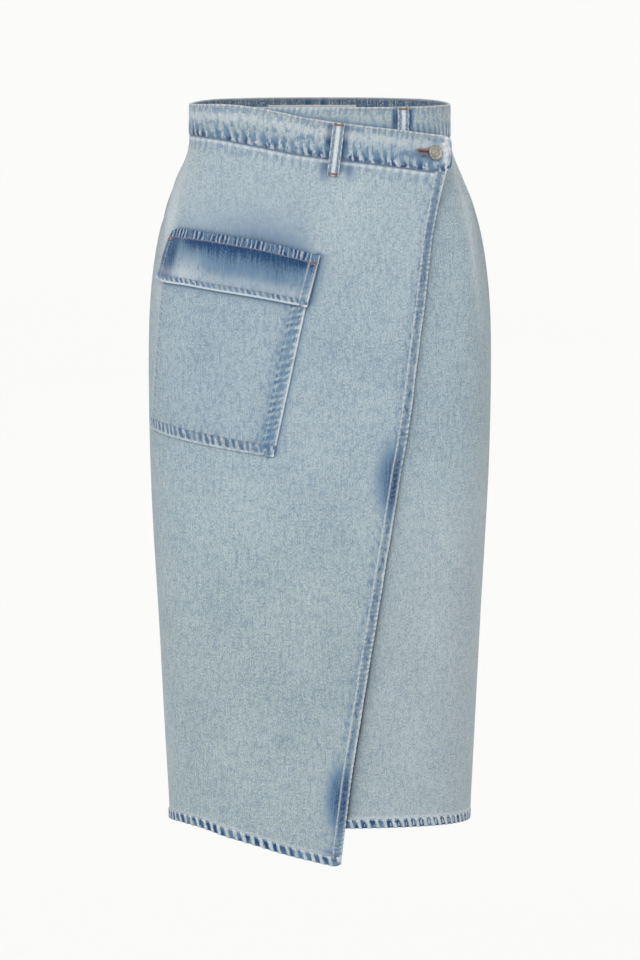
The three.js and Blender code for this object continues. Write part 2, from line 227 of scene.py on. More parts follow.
# Soft creases in the cloth, each with its s at the top. A ridge has a height over 0, a trough one under it.
# lean is how far it drifts along s for each millimetre down.
CREASES = table(
    "s top bottom lean width height",
    (-183, -34, -130, 0.05, 8, 1.5),
    (-196, -50, -170, 0.08, 12, -1.2),
    (184, -40, -135, -0.04, 8, 1.6),
    (197, -50, -190, -0.03, 10, -1.5),
    (-224, -120, -560, 0.02, 17, 1.5),
    (-128, -330, -790, 0.03, 26, -1.4),
    (-52, -180, -620, 0.04, 30, 1.1),
    (28, -70, -420, -0.09, 22, -1.0),
    (8, -400, -800, -0.05, 28, 1.3),
    (96, -70, -230, -0.22, 13, 0.9),
    (152, -180, -790, -0.05, 24, 1.5),
    (118, -420, -800, -0.08, 20, -1.3),
    (214, -230, -800, -0.02, 22, -1.4),
    (236, -120, -520, -0.01, 15, 1.3),
    (292, -60, -240, 0.10, 15, -1.6),
    (306, -250, -800, 0.02, 24, 1.8),
    (352, -40, -330, 0.06, 20, 1.4),
    (398, -330, -800, -0.02, 30, -2.0),
    (436, -40, -270, 0.04, 18, -1.3),
    (482, -60, -420, 0.03, 24, 1.5),
    (540, -40, -250, -0.05, 18, -1.4),
    (556, -300, -800, 0.04, 30, 1.9),
    (628, -50, -380, -0.05, 20, 1.5),
    (648, -380, -800, -0.02, 26, -1.8),
    (694, -60, -230, -0.10, 14, -1.4),
)
DARTS = table(
    "from_middle lean",
    (-66, 0.10),
    (66, -0.10),
)
DART_LENGTH = 105
DART_DEPTH = 0.9
CREASE_STRENGTH = 1.3  # times the heights of the table

# Unfaded patches of cloth: place, reach along s and z, and how dark
DARK_PATCHES = table(
    "s z wide tall amount",
    (76, -368, 17, 38, 0.78),
    (22, -698, 15, 36, 0.85),
    (10, -758, 9, 9, 0.75),
    (118, -118, 7, 26, 0.45),
    (30, -40, 5, 15, 0.8),
    (4, -44, 5, 12, 0.7),
)

# Roping: dark and worn lumps along a sewn edge
ROPE_SLANT = 0.35  # of a lump, over the width of the seam
ROPE_HEIGHT = 0.38
FOLD_WAVE = 0.35  # how uneven the lumps leave the edge
HEM_PITCH = 8.8
PANEL_PITCH = 8.5  # just below the band
SIDE_PITCH = 8.0
BAND_PITCH = 9.2
BAND_TOP_PITCH = 6
EDGE_PITCH = 5.6
LOOP_PITCH = 6.5


def clamp(value):
    """The value, held between 0 and 1."""
    return np.clip(value, 0, 1)


def ease(value):
    """Smoothly from 0 to 1 as the value goes from 0 to 1."""
    return clamp(value) ** 2 * (3 - 2 * clamp(value))


def mix(a, b, t):
    """From a to b as t goes from 0 to 1."""
    return a + (b - a) * t


def line(distance, width):
    """A soft line of that half width where the distance is 0."""
    return np.exp(-((distance / width) ** 2))


def decay(distance, reach):
    """1 up to the distance 0, and dying away beyond it."""
    return np.exp(-np.maximum(distance, 0) / reach)


def read(rows, key, column, at):
    """Value of one column of a table at a place between its rows, on a smooth curve through them."""
    keys = np.array([row[key] for row in rows], float)
    values = np.array([row[column] for row in rows], float)
    last = len(rows) - 1
    after, before = np.minimum(np.arange(last + 1) + 1, last), np.maximum(np.arange(last + 1) - 1, 0)
    slope = (values[after] - values[before]) / (keys[after] - keys[before])
    i = np.clip(np.searchsorted(keys, at, side="right") - 1, 0, last - 1)
    span = keys[i + 1] - keys[i]
    t = clamp((at - keys[i]) / span)
    bend = span * t * (1 - t) * (slope[i] * (1 - t) - slope[i + 1] * t)
    return mix(values[i], values[i + 1], ease(t)) + bend


LEVEL_STEP = 2.0
LEVELS = np.arange(-800.0, 42.0, LEVEL_STEP)
SHARES = np.linspace(-1, 1, 1441)  # of half the way round, from the centre back to itself


def outlines():
    """Works the body's level outlines out at each of the LEVELS.

    It gives x, y and the outward direction at even SHARES of their length, half that length, and the
    length from the centre front to the side seam.
    """
    columns = ("half", "front", "back", "corner")
    size = {name: read(SECTIONS, "z", name, LEVELS)[:, None] for name in columns}
    turns = np.radians(np.arange(-180, 180.1, 0.5))
    side, ahead = np.sin(turns), np.cos(turns)
    power = np.where(ahead >= 0, size["corner"], BACK_CORNER)
    depth = np.where(ahead >= 0, size["front"], size["back"])
    across = np.sign(side) * np.abs(side) ** (2 / power)
    along = -np.sign(ahead) * np.abs(ahead) ** (2 / power)
    out_x = np.sign(across) * np.abs(across) ** (power - 1) / size["half"]
    out_y = np.sign(along) * np.abs(along) ** (power - 1) / depth
    reach = np.hypot(out_x, out_y)
    x, y = size["half"] * across, depth * along
    walk = np.hypot(np.diff(x), np.diff(y))
    length = np.concatenate([np.zeros((len(LEVELS), 1)), np.cumsum(walk, axis=1)], axis=1)
    length -= length[:, [len(turns) // 2]]
    seam = np.array([np.interp(math.radians(SIDE_SEAM_TURN), turns, row) for row in length])
    found = np.empty((len(LEVELS), len(SHARES), 4))
    for k, values in enumerate((x, y, out_x / reach, out_y / reach)):
        for i, row in enumerate(length):
            found[i, :, k] = np.interp(SHARES * row[-1], row, values[i])
    return found, length[:, -1], seam


OUTLINES, HALF_ROUND, SIDE_SEAM = outlines()


def half_round(z):
    """Half the length round the body."""
    return np.interp(z, LEVELS, HALF_ROUND)


def side_seam(z):
    """Length from the centre front to the side seam."""
    return np.interp(z, LEVELS, SIDE_SEAM)


def skin(s, z, out):
    """Points of the cloth and their level outward directions, moved out from the skin of the body."""
    s, z, out = (np.asarray(a, float) for a in np.broadcast_arrays(s, z, out))
    share = s / half_round(z)
    share = share - 2 * np.round(share / 2)
    row = np.clip((z - LEVELS[0]) / LEVEL_STEP, 0, len(LEVELS) - 1.001)
    column = np.clip((share + 1) / 2 * (len(SHARES) - 1), 0, len(SHARES) - 1.001)
    i, j = row.astype(int), column.astype(int)
    a, b = (row - i)[..., None], (column - j)[..., None]
    low = mix(OUTLINES[i, j], OUTLINES[i, j + 1], b)
    high = mix(OUTLINES[i + 1, j], OUTLINES[i + 1, j + 1], b)
    found = mix(low, high, a)
    outward = np.stack([found[..., 2], found[..., 3], np.zeros_like(z)], axis=-1)
    outward /= np.linalg.norm(outward, axis=-1, keepdims=True)
    points = np.stack([found[..., 0], found[..., 1], z], axis=-1) + outward * out[..., None]
    return points, outward


def wrap_edge(z):
    """s of the over front's free edge."""
    return read(WRAP_EDGE, "z", "s", z)


def over_hem(s):
    """Height of the over front's hem."""
    return read(OVER_HEM, "s", "z", s)


def over_band(s, column):
    """Height of the over band's top or bottom edge."""
    return read(OVER_BAND, "s", column, s)


def wrap_rise(s, z):
    """How far the over front's face lies outside the skin."""
    layers = WRAP_RISE + WAIST_RISE * ease((z + 100) / 60)
    onto = ease((s + side_seam(z) - 5) / WRAP_RISE_LENGTH) * layers
    off = np.maximum(0, s - TAB_START)
    tab = off**2 / TAB_SPREAD * ease((z - TAB_FADE_END) / (TAB_FADE_TOP - TAB_FADE_END))
    free = EDGE_STAND * ease(1 - (wrap_edge(z) - s) / EDGE_STAND_LENGTH) * ease((-z - 60) / 80)
    beside = np.abs(s - UNDER_LOOP_S) / UNDER_LOOP_RIDE_WIDTH
    ride = UNDER_LOOP_RIDE * ease(1 - beside) * ease((z + 100) / 50)
    return onto + tab + free + ride


def round_gap(s, other, z):
    """Distance from other to s the short way round the body."""
    around = 2 * half_round(z)
    gap = s - other
    return gap - around * np.round(gap / around)


def creases(s, z):
    """Height of the soft creases, which every layer of the cloth shares."""
    total = np.zeros(np.broadcast(s, z).shape)
    for row in CREASES:
        down = (row["top"] - z) / (row["top"] - row["bottom"])
        gap = round_gap(s, row["s"] + row["lean"] * (row["top"] - z), z)
        spread = row["width"] * mix(0.8, 1.3, clamp(down))
        length = ease(3.2 * down) * ease(2.4 * (1 - down))
        total += CREASE_STRENGTH * row["height"] * line(gap, spread) * length
    for row in DARTS:
        down = (BAND_BOTTOM - z) / DART_LENGTH
        gap = round_gap(s, half_round(z) + row["from_middle"] + row["lean"] * (BAND_BOTTOM - z), z)
        total -= DART_DEPTH * np.exp(-np.abs(gap) / 1.6) * ease(1.2 * (1 - down)) * (z < BAND_BOTTOM)
    return total


def seam_valley(s, z):
    """The cloth turns in along each side seam."""
    gap = np.abs(np.abs(round_gap(s, 0, z)) - side_seam(z))
    return -1.3 * clamp(1 - gap / 2.2) ** 2 + 0.25 * line(gap - 4, 2.5)


def edge_ripple(s, z):
    """Slow ripples of the over front's free edge."""
    near = line(wrap_edge(z) - s, 22.0)
    return near * ease((-z - 60) / 60) * (0.5 * np.sin(z / 17.0) + 0.45 * np.sin(z / 7.6 + 1.3))


def lumps(along, pitch, seed, wander=0.22):
    """Phase of the roping along a seam, a whole number for each lump, unevenly spaced."""
    rng = np.random.default_rng(seed)
    low, high = float(np.min(along)) - pitch, float(np.max(along)) + pitch
    count = int((high - low) / pitch * 1.3) + 4
    places = low + np.cumsum(pitch * (1 + wander * rng.uniform(-1, 1, count)))
    return np.interp(along, places, np.arange(count))


def rope(share, phase):
    """Height of the roping from -1 to 1 at a share of the seam's width from its edge."""
    return np.sin(2 * np.pi * (phase + ROPE_SLANT * share))


def fold_lumps(share, phase):
    """Roping of a turned edge, which runs flat at its edge and at its stitches."""
    return rope(share, phase) * ease(4 * share) * ease(3 * (1 - share))


def pucker(distance, phase, reach):
    """Small puckers beside a line of stitches, dying away from it."""
    return np.sin(2 * np.pi * phase) * decay(distance, reach)


def dark_patches(s, z):
    """How much dye the unfaded patches have kept."""
    total = np.zeros(np.broadcast(s, z).shape)
    for row in DARK_PATCHES:
        far = ((s - row["s"]) / row["wide"]) ** 2 + ((z - row["z"]) / row["tall"]) ** 2
        total = np.maximum(total, row["amount"] * np.exp(-(far**1.5)))
    return total


def bunched(t, ends=0.5):
    """Even steps from 0 to 1 drawn closer together at both ends."""
    return t - ends * np.sin(2 * np.pi * t) / (2 * np.pi)


def write_facts(mesh, facts):
    """Stores numbers and triples for each point of a mesh, which its material reads by name."""
    for name, value in facts.items():
        kind = "FLOAT_VECTOR" if value.ndim == 2 else "FLOAT"
        layer = mesh.attributes.new(name, kind, "POINT")
        field = "vector" if value.ndim == 2 else "value"
        layer.data.foreach_set(field, value.astype(np.float32).ravel())


def finish_piece(piece, materials, slot, replaces=()):
    """Gives a piece its materials and smooth faces, and fixes it to the body of the part."""
    for material in materials:
        piece.data.materials.append(material)
    piece.data.shade_smooth()
    bpy.context.scene.collection.objects.link(piece)
    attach(piece, BODY)
    if replaces:
        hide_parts(*replaces)
    return piece


def triple(across, phase, strength):
    """A seam's facts for the material: share of its width, phase of its lumps and how strong they are."""
    return np.stack(np.broadcast_arrays(across, phase, strength), axis=-1)


def cut_faces(mesh, s, z, cut):
    """Takes out the faces that cut picks from the s and z of their middles."""
    bm = bmesh.new()
    bm.from_mesh(mesh)
    bm.faces.ensure_lookup_table()
    corners = np.array([[v.index for v in face.verts] for face in bm.faces])
    gone = cut(s[corners].mean(1), z[corners].mean(1))
    bmesh.ops.delete(bm, geom=[face for face, out in zip(bm.faces, gone) if out], context="FACES")
    bm.to_mesh(mesh)
    bm.free()


# Grid of each sheet of cloth, its wall and rounding in millimetres, its slot and the node that it replaces
SHEETS = table(
    "name columns rows thick bevel slot node",
    ("over_front_cloth", 134, 258, CLOTH, 0, "denim_light", "front_over_panel"),
    ("over_hem_fold", 300, 8, 2.75, 0.8, "denim_light", None),
    ("over_edge_fold", 8, 400, 2.6, 0.8, "denim_light", None),
    ("under_front_cloth", 98, 228, CLOTH, 0, "denim_light", "front_under_panel"),
    ("under_hem_fold", 190, 8, 2.75, 0.7, "denim_light", None),
    ("back_cloth", 158, 226, CLOTH, 0, "denim_light", "back_panel"),
    ("back_hem_fold", 300, 8, 2.75, 0.7, "denim_light", None),
    ("over_waistband", 290, 26, BAND_THICK, 0.8, "denim_light", "waistband_over"),
    ("under_waistband", 200, 20, UNDER_BAND_THICK, 0.8, "denim_light", "waistband_under"),
    ("back_waistband", 240, 20, BAND_THICK, 0.8, "denim_inside", "waistband_back"),
    ("pocket_cloth", 100, 92, CLOTH + 0.25, 0.5, "denim_pocket", "pocket_body"),
    ("flap_cloth", 120, 42, FLAP_THICK, 0.7, "denim_flap", "pocket_flap"),
    ("belt_loop_over_cloth", 14, 60, LOOP_THICK + 0.2, 0.4, "denim_light", "belt_loop_over"),
    ("belt_loop_under_cloth", 14, 60, LOOP_THICK + 0.2, 0.4, "denim_light", "belt_loop_under"),
    ("belt_loop_back_cloth", 14, 60, LOOP_THICK + 0.2, 0.4, "denim_light", "belt_loop_back"),
    ("blank_label", 90, 22, 0.2 - LABEL["thick"], 0.3, "label_cloth", "waist_label"),
)


def cloth(name, place, cut=None, inner="denim_inside"):
    """A sheet of cloth: a flat grid moved by place, thickened inwards, its edges rounded.

    place gives s, z, out and the facts of each point from its shares across and down the piece.
    cut says which faces to take out, from the s and z of their middles.
    """
    sheet = next(row for row in SHEETS if row["name"] == name)
    bm = bmesh.new()
    bmesh.ops.create_grid(bm, x_segments=sheet["columns"], y_segments=sheet["rows"], size=0.5)
    mesh = bpy.data.meshes.new(name)
    bm.to_mesh(mesh)
    bm.free()
    flat = np.empty(len(mesh.vertices) * 3)
    mesh.vertices.foreach_get("co", flat)
    s, z, out, facts = place(flat[0::3] + 0.5, 0.5 - flat[1::3])
    points = skin(s, z, out)[0]
    mesh.vertices.foreach_set("co", (points * MM).astype(np.float32).ravel())
    own_pattern = np.full(len(points), 37.0 * len(name))
    write_facts(mesh, {"lay": np.stack([s, z, own_pattern], axis=-1), **facts})
    if cut:
        cut_faces(mesh, s, z, cut)
    piece = bpy.data.objects.new(name, mesh)
    wall = piece.modifiers.new("Wall", "SOLIDIFY")
    wall.thickness = sheet["thick"] * MM
    wall.offset = -1
    wall.use_even_offset = True
    wall.material_offset = 1
    if sheet["bevel"]:
        rounding = piece.modifiers.new("Rounding", "BEVEL")
        rounding.width = sheet["bevel"] * MM
        rounding.segments = 3
        rounding.limit_method = "ANGLE"
        rounding.angle_limit = math.radians(55)
    materials = [bpy.data.materials["denim"], bpy.data.materials[inner]]
    return finish_piece(piece, materials, sheet["slot"], [sheet["node"]] if sheet["node"] else [])


# Panels


def panel_facts(s, z, seams, indigo, fade_and_highlight, mottle=0.12, shade=0.0):
    """Facts of each point for the denim: its seams, and how dyed, worn, mottled, tinted and shaded it is.

    The indigo fact also carries painted shadow, the fade fact painted light, and the shade fact painted
    shade.
    The warm tint is the waistband's own colour, and painted shade beside the side seams and towards the hem.
    """
    facts = {f"seam_{i + 1}": seam for i, seam in enumerate(seams)}
    past = np.abs(round_gap(s, 0, z)) - side_seam(z)
    # Painted shade: a warm, greyer tint beside the side seams and towards the hem; in the band it is its own
    # colour
    at_sides = 0.8 * ease(1 + np.minimum(past, 0) / 120) * ease(1 - np.maximum(past, 0) / 80)
    downwards = 0.15 + 0.4 * ease((-z - 300) / 280) + 0.35 * ease((z - BAND_BOTTOM + 2) / 4)
    warm_tint_and_shade = np.maximum(at_sides, downwards)
    values = {"indigo": indigo, "fade_and_highlight": fade_and_highlight, "mottle": mottle, "warm_tint_and_shade": warm_tint_and_shade, "shade": shade}
    for name, value in values.items():
        facts[name] = np.broadcast_to(value, np.shape(s)).astype(float)
    return facts


def over_spot(across, down):
    """s and z on the over front at shares across and down it, with its top tucked into the band."""
    z = mix(BAND_BOTTOM, HEM, down)
    for _ in range(7):
        s = mix(-side_seam(z), wrap_edge(z) - INSET, across)
        z = mix(over_band(s, "bottom") + TUCK, over_hem(s) + INSET, down)
    return s, z


def over_face(s, z):
    """How far the over front's outer face lies outside the skin."""
    return wrap_rise(s, z) + creases(s, z) + edge_ripple(s, z)


def seam_ridge(below):
    """The seam's turnings show under the cloth as a low ridge just below the band."""
    return 0.5 * line(below - 3.4, 1.8)


def band_seam(below, phase):
    """The faint roping of the band's seam on the panel below it."""
    share = below / BAND_SEAM
    return triple(share, phase, 0.17 * ease(below) * ease(2 - share))


def rubbed_ridge(below):
    """The pale line that wear leaves on that ridge."""
    return 0.8 * line(below - 3.4, 1.5)


def rubbed_hem(up):
    """The pale line above the stitches of a hem, from the height over the edge."""
    return 0.5 * line(up - HEM_WIDTH - STITCH_GAP, 1.3)


def beside_loop(s, z, middle, top, bottom):
    """Unfaded strips of cloth on both sides of a belt loop."""
    gap = np.abs(s - middle) - LOOP_WIDTH / 2
    strip = ease((gap + 2) / 1.5) * ease(1 - (gap - 3.5) / 4)
    return strip * ease((top - z) / 5) * ease((z - bottom) / 7)


def over_loop_middle(z):
    """s of the over loop's middle, which slants."""
    down = (OVER_LOOP["top"] - z) / LOOP_LENGTH
    return mix(OVER_LOOP["topS"], OVER_LOOP["bottomS"], down)


def flap_shadow(s, z):
    """Cloth that the flap has kept from fading, as a cloud above it that is darkest to the centre front."""
    across = clamp((s - FLAP_LEFT["top"]) / (FLAP_RIGHT["top"] - FLAP_LEFT["top"]))
    above = z - read(FLAP, "across", "top", across)
    inside = ease((s - FLAP_LEFT["top"] + 4) / 12) * ease((FLAP_RIGHT["top"] + 2 - s) / 22)
    cloud = (0.26 + 0.44 * line(across - 0.66, 0.3)) * decay(above, 20) * (above > -8)
    return inside * np.maximum(0.5 * line(above, 2.4), cloud)


def patch_shadow(s, z):
    """Painted shadow on the cloth along the right-hand edges of the flap and the pocket."""
    low = read(FLAP, "across", "bottom", 1.0)
    high = read(FLAP, "across", "top", 1.0)
    foot = read(POCKET_BOTTOM, "across", "z", 1.0)
    on_flap = mix(FLAP_RIGHT["top"], FLAP_RIGHT["bottom"], (high - z) / (high - low))
    down = (high - POCKET_UNDER_FLAP - z) / (high - POCKET_UNDER_FLAP - foot)
    on_pocket = mix(POCKET_RIGHT["top"], POCKET_RIGHT["bottom"], down)
    gap = s - np.where(z > low, on_flap, on_pocket)
    reach = 2.2 + 2.5 * (z > low)
    amount = 0.5 + 0.3 * (z > low)
    return amount * decay(gap, reach) * (gap > -6) * (z < high + 2) * (z > foot - 1)


def painted_top_light(z):
    """Painted light: the upper part of the skirt is painted a little paler, as lit from above."""
    return 0.15 * ease((z + 200) / 120)


def hip_gap(s, z, middle):
    """Distance along s from a line down the hip, which leans out as the skirt widens."""
    return s - middle + 0.146 * (z + 110)


def hip_highlight(s, z, width=12.0):
    """A painted highlight down each side of the hip."""
    return line(hip_gap(s, z, 172), width) * line(z + 120, 85)


def hip_shade(s, z):
    """Painted shade outside that line, at each side of the hip, where the cloth turns from the light."""
    return line(hip_gap(s, z, 222), 20) * line(z + 110, 75)


def over_front():
    """The panel that wraps across, dark where the flap, the loop and the patches kept it from fading.

    It has painted shadow under the band and beside the flap and the pocket, painted light at its top and
    at the hip, and painted shade at the side of the hip.
    """

    def place(across, down):
        s, z = over_spot(bunched(across, 0.3), bunched(down))
        below = over_band(s, "bottom") - z
        from_fold = wrap_edge(z) - EDGE_WIDTH - s
        over_edge = z - over_hem(s)
        phase = lumps(s, PANEL_PITCH, seed=3)
        out = over_face(s, z) + seam_valley(s, z) * (s < 0) + seam_ridge(below)
        out = out + 0.3 * pucker(below - 4, phase, 9)
        out = out + 0.22 * pucker(from_fold, lumps(z, EDGE_PITCH, seed=5), 5)
        out = out + 0.2 * pucker(over_edge - HEM_WIDTH, lumps(s, HEM_PITCH, seed=11), 6)
        loop = beside_loop(s, z, over_loop_middle(z), 0, OVER_LOOP["top"] - LOOP_LENGTH)
        # Kept dye, with painted shadow beside the flap and the pocket and in the groove under the band
        dark = np.maximum.reduce([
            dark_patches(s, z),
            flap_shadow(s, z),
            patch_shadow(s, z),
            0.8 * loop,
            0.85 * line(below - 0.6, 1.2),
            0.12 * line(from_fold - 3, 2.5),
        ])
        # Painted light at the top and a painted highlight down the hip, with the rubbed lines of wear
        fade_and_highlight = painted_top_light(z) + rubbed_ridge(below) + 0.5 * hip_highlight(-s, z) + rubbed_hem(over_edge)
        mottle = 0.12 + 0.45 * decay(below, 9) + 0.25 * line(from_fold, 6)
        # Painted shade at the side of the hip
        shade = 0.25 * hip_shade(-s, z)
        return s, z, out, panel_facts(s, z, [band_seam(below, phase)], dark, fade_and_highlight, mottle, shade)

    return cloth("over_front_cloth", place)


def level_height(down):
    """Height at a share down a panel whose band and hem are level."""
    return mix(BAND_BOTTOM + TUCK, HEM + INSET, bunched(down))


def contact_shade(s, z):
    """Painted shadow that the over front's edge casts on the cloth just beside it."""
    gap = s - wrap_edge(z)
    depth = 0.4 + 0.4 * ease((-z - 380) / 250)
    return depth * (0.9 * decay(gap, 2.2) + 0.5 * decay(gap, 9.0)) * (gap > -12)


def under_front():
    """The panel under it, from a hidden edge to the side seam, with painted shadow beside the over front's
    edge.
    """

    def place(across, down):
        z = level_height(down)
        s = mix(mix(UNDER_EDGE_TOP, UNDER_EDGE_BOTTOM, down), side_seam(z), across)
        phase = lumps(s, HEM_PITCH, seed=21)
        below = BAND_BOTTOM - z
        out = creases(s, z) + seam_valley(s, z) * (s > 0) + seam_ridge(below) * (s > 90)
        out = out + 0.2 * pucker(z - HEM - HEM_WIDTH, phase, 6)
        # Painted shadow beside the over front's edge, laid in as dark and as shade, with painted shade at the
        # hip
        dark = 0.3 * contact_shade(s, z)
        # Painted light at the top and a painted highlight down the hip, with the rubbed hem
        fade_and_highlight = rubbed_hem(z - HEM) + painted_top_light(z) * 0.6 + 0.4 * hip_highlight(s, z, 6)
        fade_and_highlight = fade_and_highlight + 0.14 * ease((-z - 250) / 200)
        shade = np.maximum(contact_shade(s, z), 0.42 * hip_shade(s, z))
        return s, z, out, panel_facts(s, z, [band_seam(below, phase)], dark, fade_and_highlight, shade=shade)

    return cloth("under_front_cloth", place)


def back():
    """The back, from side seam to side seam, rubbed pale along both.

    It has painted shadow under the band, painted light at its top and painted shade at the hips.
    """

    def place(across, down):
        z = level_height(down)
        middle = half_round(z)
        s = mix(side_seam(z), 2 * middle - side_seam(z), bunched(across, 0.3))
        phase = lumps(s, HEM_PITCH, seed=31)
        below = BAND_BOTTOM - z
        from_seam = middle - side_seam(z) - np.abs(s - middle)
        out = creases(s, z) + seam_valley(s, z) + seam_ridge(below)
        out = out + 0.3 * pucker(below - 4, lumps(s, PANEL_PITCH, seed=33), 9)
        out = out + 0.2 * pucker(z - HEM - HEM_WIDTH, phase, 6)
        loop = beside_loop(s, z, middle - BACK_LOOP_X, BAND_BOTTOM, LOOP_TOP - LOOP_LENGTH)
        # Kept dye beside the loop, and painted shadow in the groove under the band
        dark = np.maximum(0.8 * loop, 0.5 * line(below, 1.5))
        # Painted light at the top, with the rubbed lines of wear
        fade_and_highlight = painted_top_light(z) + rubbed_ridge(below) + rubbed_hem(z - HEM) + 0.5 * line(from_seam - 0.8, 1.0)
        side = triple(from_seam / 8, lumps(z, SIDE_PITCH, seed=35, wander=0.3), 0.22)
        mottle = 0.12 + 0.45 * decay(below, 9)
        # Painted shade at the sides of the hips
        shade = 0.33 * hip_shade(middle - np.abs(s - middle), z)
        return s, z, out, panel_facts(s, z, [band_seam(below, phase), side], dark, fade_and_highlight, mottle, shade)

    return cloth("back_cloth", place)


# Turned hems and edge


def hem_facts(s, z, share, phase, dark=0.0):
    """Dark lozenges between white lumps, up to a pale line of stitches."""
    dark = np.maximum(dark, 0.35 * line(share - 0.03, 0.07))
    fade_and_highlight = line(share - 0.96, 0.12)
    return panel_facts(s, z, [triple(share, phase, 1.0)], dark, fade_and_highlight, 0.3)


def over_hem_fold():
    """Turned hem of the over front, roped, down to the point of the wrap."""

    def place(across, down):
        z = over_hem(0)
        for _ in range(4):
            s = mix(-side_seam(z), wrap_edge(z) - 0.3, across)
            z = over_hem(s)
        phase = lumps(s, HEM_PITCH, seed=11, wander=0.15)
        share = 1 - down
        height = HEM_WIDTH * share
        out = over_face(s, z + height) + FOLD_OUT + 0.15 + ROPE_HEIGHT * fold_lumps(share, phase)
        z = z + height - FOLD_WAVE * rope(0, phase) * (1 - share)
        return s, z, out, hem_facts(s, z, share, phase, 0.3 * dark_patches(s, z))

    return cloth("over_hem_fold", place)


def over_edge_fold():
    """Turned free edge of the over front, with faint, close roping."""

    def place(across, down):
        top = over_band(np.full_like(across, 120.0), "bottom") + 2
        z = mix(top, over_hem(17.0) + 1.5, down)
        share = 1 - across
        phase = lumps(z, EDGE_PITCH, seed=5, wander=0.35)
        wave = 0.6 * FOLD_WAVE * rope(0, phase) * (1 - share)
        s = wrap_edge(z) - EDGE_WIDTH * share + wave
        out = over_face(s, z) + FOLD_OUT + 0.7 * ROPE_HEIGHT * fold_lumps(share, phase)
        hollow = (0.17 + 0.14 * ease((z + 190) / 60)) * line(share - 0.5, 0.3)
        dark = np.maximum(1.3 * dark_patches(s, z), hollow)
        fade_and_highlight = 1.1 * line(share - 0.05, 0.13) + 0.9 * line(share - 0.9, 0.09)
        shade = 0.28 * line(share - 0.5, 0.28)
        seams = [triple(share, phase, 0.24 + 0.14 * np.sin(z / 31.0))]
        return s, z, out, panel_facts(s, z, seams, dark, fade_and_highlight, 0.75, shade)

    return cloth("over_edge_fold", place)


def level_hem_fold(name, start, end, seed):
    """Turned hem of a panel whose hem is level, roped, from one s to another."""

    def place(across, down):
        s = mix(start, end, across)
        phase = lumps(s, HEM_PITCH, seed, wander=0.15)
        share = 1 - down
        z = HEM + HEM_WIDTH * share
        out = creases(s, z) + seam_valley(s, z) + LEVEL_FOLD_OUT + ROPE_HEIGHT * fold_lumps(share, phase)
        z = z - FOLD_WAVE * rope(0, phase) * (1 - share)
        return s, z, out, hem_facts(s, z, share, phase)

    return cloth(name, place)


# Waistband


def band_level(from_seam, down):
    """Height at a share down a level band, whose top dips towards the side seams."""
    top = BAND_TOP - SIDE_DIP * ease(1 - from_seam / SIDE_DIP_LENGTH)
    return mix(top, BAND_BOTTOM, down)


def level_band_seams(s, down, phase, strength, seed):
    """A level band's roping: strong above its lower seam and faint below its top edge."""
    share = (1 - down) * BAND_DEPTH / 19
    lower = triple(share, phase, strength * (1 - clamp(share)) ** 0.6)
    return [lower, triple(down * BAND_DEPTH / 8, lumps(s, BAND_TOP_PITCH, seed), 0.25)]


def rubbed_top(below):
    """The pale line that wear leaves on a band's top edge, from the distance below it."""
    return 0.7 * line(below - 0.5, 1.6)


def band_form(down, phase, strength=1.0):
    """The band is a little full between its two edges and roped along its lower seam."""
    full = 0.45 * (1 - (2 * down - 1) ** 4)
    worked = strength * 0.4 * rope(0, phase) * ease((down - 0.45) / 0.4) * ease((1 - down) / 0.1)
    return full + worked


HOLE_SLOPE = math.radians(HOLE["slope"])


def hole_spot(s, z):
    """Place along and across the buttonhole, measured from its eye."""
    ahead, up = s - BUTTON["s"], z - BUTTON["z"]
    along = ahead * math.cos(HOLE_SLOPE) + up * math.sin(HOLE_SLOPE)
    return along, up * math.cos(HOLE_SLOPE) - ahead * math.sin(HOLE_SLOPE)


def beside_hole(along, across):
    """s and z of a place along and across the buttonhole."""
    s = BUTTON["s"] + along * math.cos(HOLE_SLOPE) - across * math.sin(HOLE_SLOPE)
    return s, BUTTON["z"] + along * math.sin(HOLE_SLOPE) + across * math.cos(HOLE_SLOPE)


def in_hole(s, z):
    """True in the eye or the slot of the buttonhole."""
    along, across = hole_spot(s, z)
    eye = np.hypot(along, across) < HOLE["eye"]
    slot = (along < 0) & (along > -HOLE["length"]) & (np.abs(across) < HOLE["width"] / 2)
    return eye | slot


def corner_cut(radius, distance):
    """How much a rounded corner takes off an edge, at a distance from the end."""
    return radius - np.sqrt(radius**2 - np.clip(radius - distance, 0, radius) ** 2)


def over_band_spot(across, down):
    """s and z on the over band, and the heights of its top and bottom edges there."""
    z = np.zeros_like(across)
    for _ in range(4):
        s = mix(-side_seam(z), TAB_END, across)
        top = over_band(s, "top") - corner_cut(TAB_CORNER_TOP, TAB_END - s)
        bottom = over_band(s, "bottom") + corner_cut(TAB_CORNER_BOTTOM, TAB_END - s)
        z = mix(top, bottom, down)
    return s, z, top, bottom


def over_band_face(s, z):
    """How far the over band's face lies outside the skin."""
    return wrap_rise(s, z) + creases(s, z) + BAND_OUT


def over_band_dye_and_shadow(s, z, bottom):
    """Dye that the over band has kept: round the buttonhole, under the button and beside its loop.

    It also has painted shadow along its lower edge and painted shade on its end.
    """
    along, across = hole_spot(s, z)
    return np.maximum.reduce([
        0.85 * line(along + 9, 15) * line(across + 4, 5),
        0.5 * line(s - 119, 7) * line(z + 19, 5),
        beside_loop(s, z, over_loop_middle(z), 4, -40),
        # Painted shadow along the lower edge
        0.6 * line(z - bottom - 0.4, 1.2),
        0.09 * ease((s - 10) / 60),
        # Painted shade on the band's end
        0.9 * line(TAB_END - s - 0.1, 1.2),
    ])


